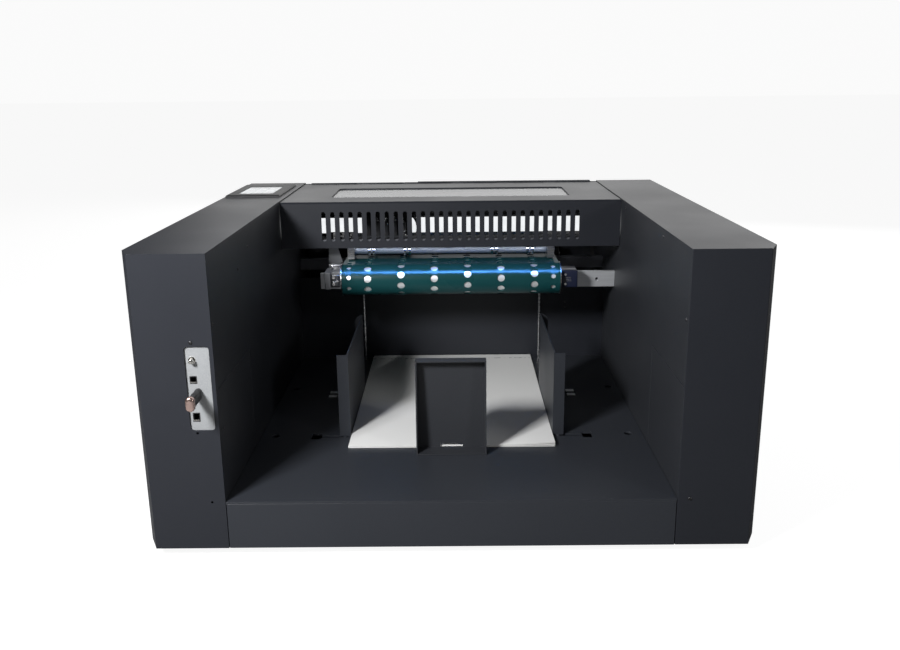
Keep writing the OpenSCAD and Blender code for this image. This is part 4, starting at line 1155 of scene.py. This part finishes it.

# %% [markdown]
# ## Under the cover
# Through the vents the carriage shows as a dark block with bits of wiring and fittings. Four ink dampers
# with turned fittings stand on its front face, and a cable box with a looped loom stands beside them.


# %% Carriage fittings
def make_carriage_fittings():
    low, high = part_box("print_carriage")
    front = low[1]
    bm = bmesh.new()
    for k in range(4):
        x = low[0] + (13 + 16.5 * k) * MM
        soften(bm, slab(bm, (x - 6.2 * MM, front - 9 * MM, low[2] + 12 * MM),
                        (x + 6.2 * MM, front + 0.2 * MM, low[2] + 52 * MM)), 1.6 * MM, 3)
    dampers = make_piece(bm, "ink_dampers", MATERIALS["smoked_plastic"], "print_carriage")
    bm = bmesh.new()
    for k in range(4):
        x = low[0] + (13 + 16.5 * k) * MM
        fitting = [(0, 0), (2.6, 0), (2.6, 2.2), (1.6, 2.8), (1.6, 6.0), (2.0, 6.4), (1.2, 8.6), (0, 8.6)]
        foot = (x, front - 4.5 * MM, low[2] + 51.8 * MM)
        turned(bm, [(a * MM, b * MM) for a, b in fitting], foot, (0, 0, 1), 20)
        cap_screw(bm, (x, front - 9 * MM, low[2] + 17 * MM), (0, -1, 0), 2.0 * MM, 1.2 * MM)
    fittings = make_piece(bm, "tube_fittings", MATERIALS["bright_steel"], "print_carriage")
    bm = bmesh.new()
    side = slab(bm, (low[0] - 12 * MM, front + 6 * MM, low[2] + 4 * MM),
                (low[0] + 0.2 * MM, front + 40 * MM, low[2] + 66 * MM))
    soften(bm, side, 2 * MM, 3)
    turn = [(high[0] - 1 * MM, 60), (high[0] + 5 * MM, 60), (high[0] + 10 * MM, 56), (high[0] + 14 * MM, 48),
            (high[0] + 16 * MM, 38), (high[0] + 15 * MM, 28), (high[0] + 9 * MM, 20), (high[0] - 1 * MM, 17)]
    for (xa, za), (xb, zb) in zip(turn, turn[1:]):
        bar(bm, (xa, front + 8 * MM, low[2] + za * MM), (xb, front + 8 * MM, low[2] + zb * MM), 2.6 * MM, 14)
    spots = ((31, 58, 1.5), (34, 47, 1.1), (47, 61, 1.7), (50, 55, 1.2), (62, 63, 1.9), (65, 50, 1.4),
             (67, 33, 1.8), (70, 24, 1.5), (63, 21, 1.3))
    clips = bmesh.new()
    for dx, dz, size in spots:
        verts = slab(clips, (low[0] + (dx - size) * MM, front - 10.2 * MM, low[2] + (dz - 0.8 * size) * MM),
                     (low[0] + (dx + size) * MM, front - 8.8 * MM, low[2] + (dz + 1.2 * size) * MM))
        soften(clips, verts, 0.35 * MM)
    clip_piece = make_piece(clips, "wire_clips", MATERIALS["bright_steel"], "print_carriage")
    loom = make_piece(bm, "cable_box_and_loom", MATERIALS["black_plastic"], "print_carriage",
                      50)
    return dampers, fittings, clip_piece, loom


carriage_bits = make_carriage_fittings()
print("carriage fittings made")

# %% [markdown]
# A dark rubber strip stands behind the hold-down shaft, 4 mm above the belt. It is a dark sheet put where
# there is only
# shade: it shows as a dark band under the shaft and hides the belt's reflection of the work light. The
# collars on the
# shaft still reach about 1.7 mm into it: it would have to stand 2 mm further back to clear them.
# The lamp's wires end in a small dark terminal block with bright screws, which stands on the lamp body.
# Two dark sealing strips stand behind the seams of the rear panel, and a brush hangs in the infeed slot, so
# that no light comes in past them. The brush is a strip of bristle bundles that each lean a little.


# %% Brush, lamp terminals and seals
BUNDLES = 126
BLOCK_RIGHT = 178 * MM
BLOCK_LONG = 50 * MM


def make_brush():
    low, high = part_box("infeed_table")
    sill = low[2] + 2.4 * MM
    half = high[0] - 0.4 * MM
    y = BACK - 4.6 * MM
    bm = bmesh.new()
    strip = slab(bm, (-half, y - 1.6 * MM, sill + 21 * MM), (half, y + 1.6 * MM, sill + 29 * MM))
    soften(bm, strip, 0.5 * MM)
    holder = make_piece(bm, "brush_holder", MATERIALS["aluminium"], "frame")
    bm = bmesh.new()
    slab(bm, (-half, y - 0.5 * MM, sill + 4 * MM), (half, y + 0.5 * MM, sill + 22 * MM))
    for k in range(BUNDLES):
        x = -half + (k + 0.5) * 2 * half / BUNDLES
        lean = 0.7 * MM * math.sin(2.1 * k)
        tip = (x + lean, y + 0.5 * MM * math.sin(1.3 * k), sill + 0.9 * MM)
        bar(bm, (x, y, sill + 22 * MM), tip, 1.25 * MM, 6, end_radius=0.6 * MM)
    bristles = make_piece(bm, "brush_bristles", MATERIALS["black_rubber"], "frame",
                          merge=True)
    return holder, bristles


def make_terminals_and_seals():
    low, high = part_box("uv_lamp")
    left = -BLOCK_RIGHT - BLOCK_LONG
    near = low[1] + 4 * MM
    bm = bmesh.new()
    block = slab(bm, (left, near, high[2] - 0.2 * MM), (-BLOCK_RIGHT, near + 12 * MM, high[2] + 12 * MM))
    soften(bm, block, 1 * MM)
    housing = make_piece(bm, "lamp_terminal_block", MATERIALS["black_plastic"], "frame")
    bm = bmesh.new()
    for x, z in ((12, 3.5), (24, 6.5), (28, 6), (41, 4), (43, 8.5)):
        cap_screw(bm, (left + x * MM, near, high[2] + z * MM), (0, -1, 0), 2 * MM, 2 * MM)
    pins = make_piece(bm, "terminal_screws", MATERIALS["bright_steel"], "frame")
    panel_low, panel_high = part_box("rear_panel")
    bm = bmesh.new()
    inner = BACK - 2.6 * MM
    for side in (-1, 1):
        edge = side * (panel_high[0] + 0.4 * MM)
        inside = side * (panel_high[0] - 7 * MM)
        slab(bm, (min(edge, inside), inner - 1.2 * MM, panel_low[2] + 6 * MM),
             (max(edge, inside), inner, panel_high[2] - 14 * MM))
    seals = make_piece(bm, "seam_seals", MATERIALS["black_rubber"], "frame")
    return housing, pins, seals


# A dark sheet standing in for shade behind the shaft. It also blocks the belt's reflection of the work light.
def make_shade_curtain():
    low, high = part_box("exit_shaft")
    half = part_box("exit_bracket_right")[0][0] + 0.2 * MM
    y = high[1] + 1.2 * MM
    bm = bmesh.new()
    soften(bm, slab(bm, (-half, y, high[2] - 5 * MM), (half, y + 2.6 * MM, high[2] + 2 * MM)), 0.4 * MM)
    slab(bm, (-half, y + 0.8 * MM, belt_high[2] + 4 * MM), (half, y + 1.7 * MM, high[2] - 4 * MM))
    return make_piece(bm, "shade_curtain", MATERIALS["black_rubber"], "frame")


brush = make_brush()
curtain = make_shade_curtain()
hidden_bits = make_terminals_and_seals()
print("brush, lamp terminals and seals made")
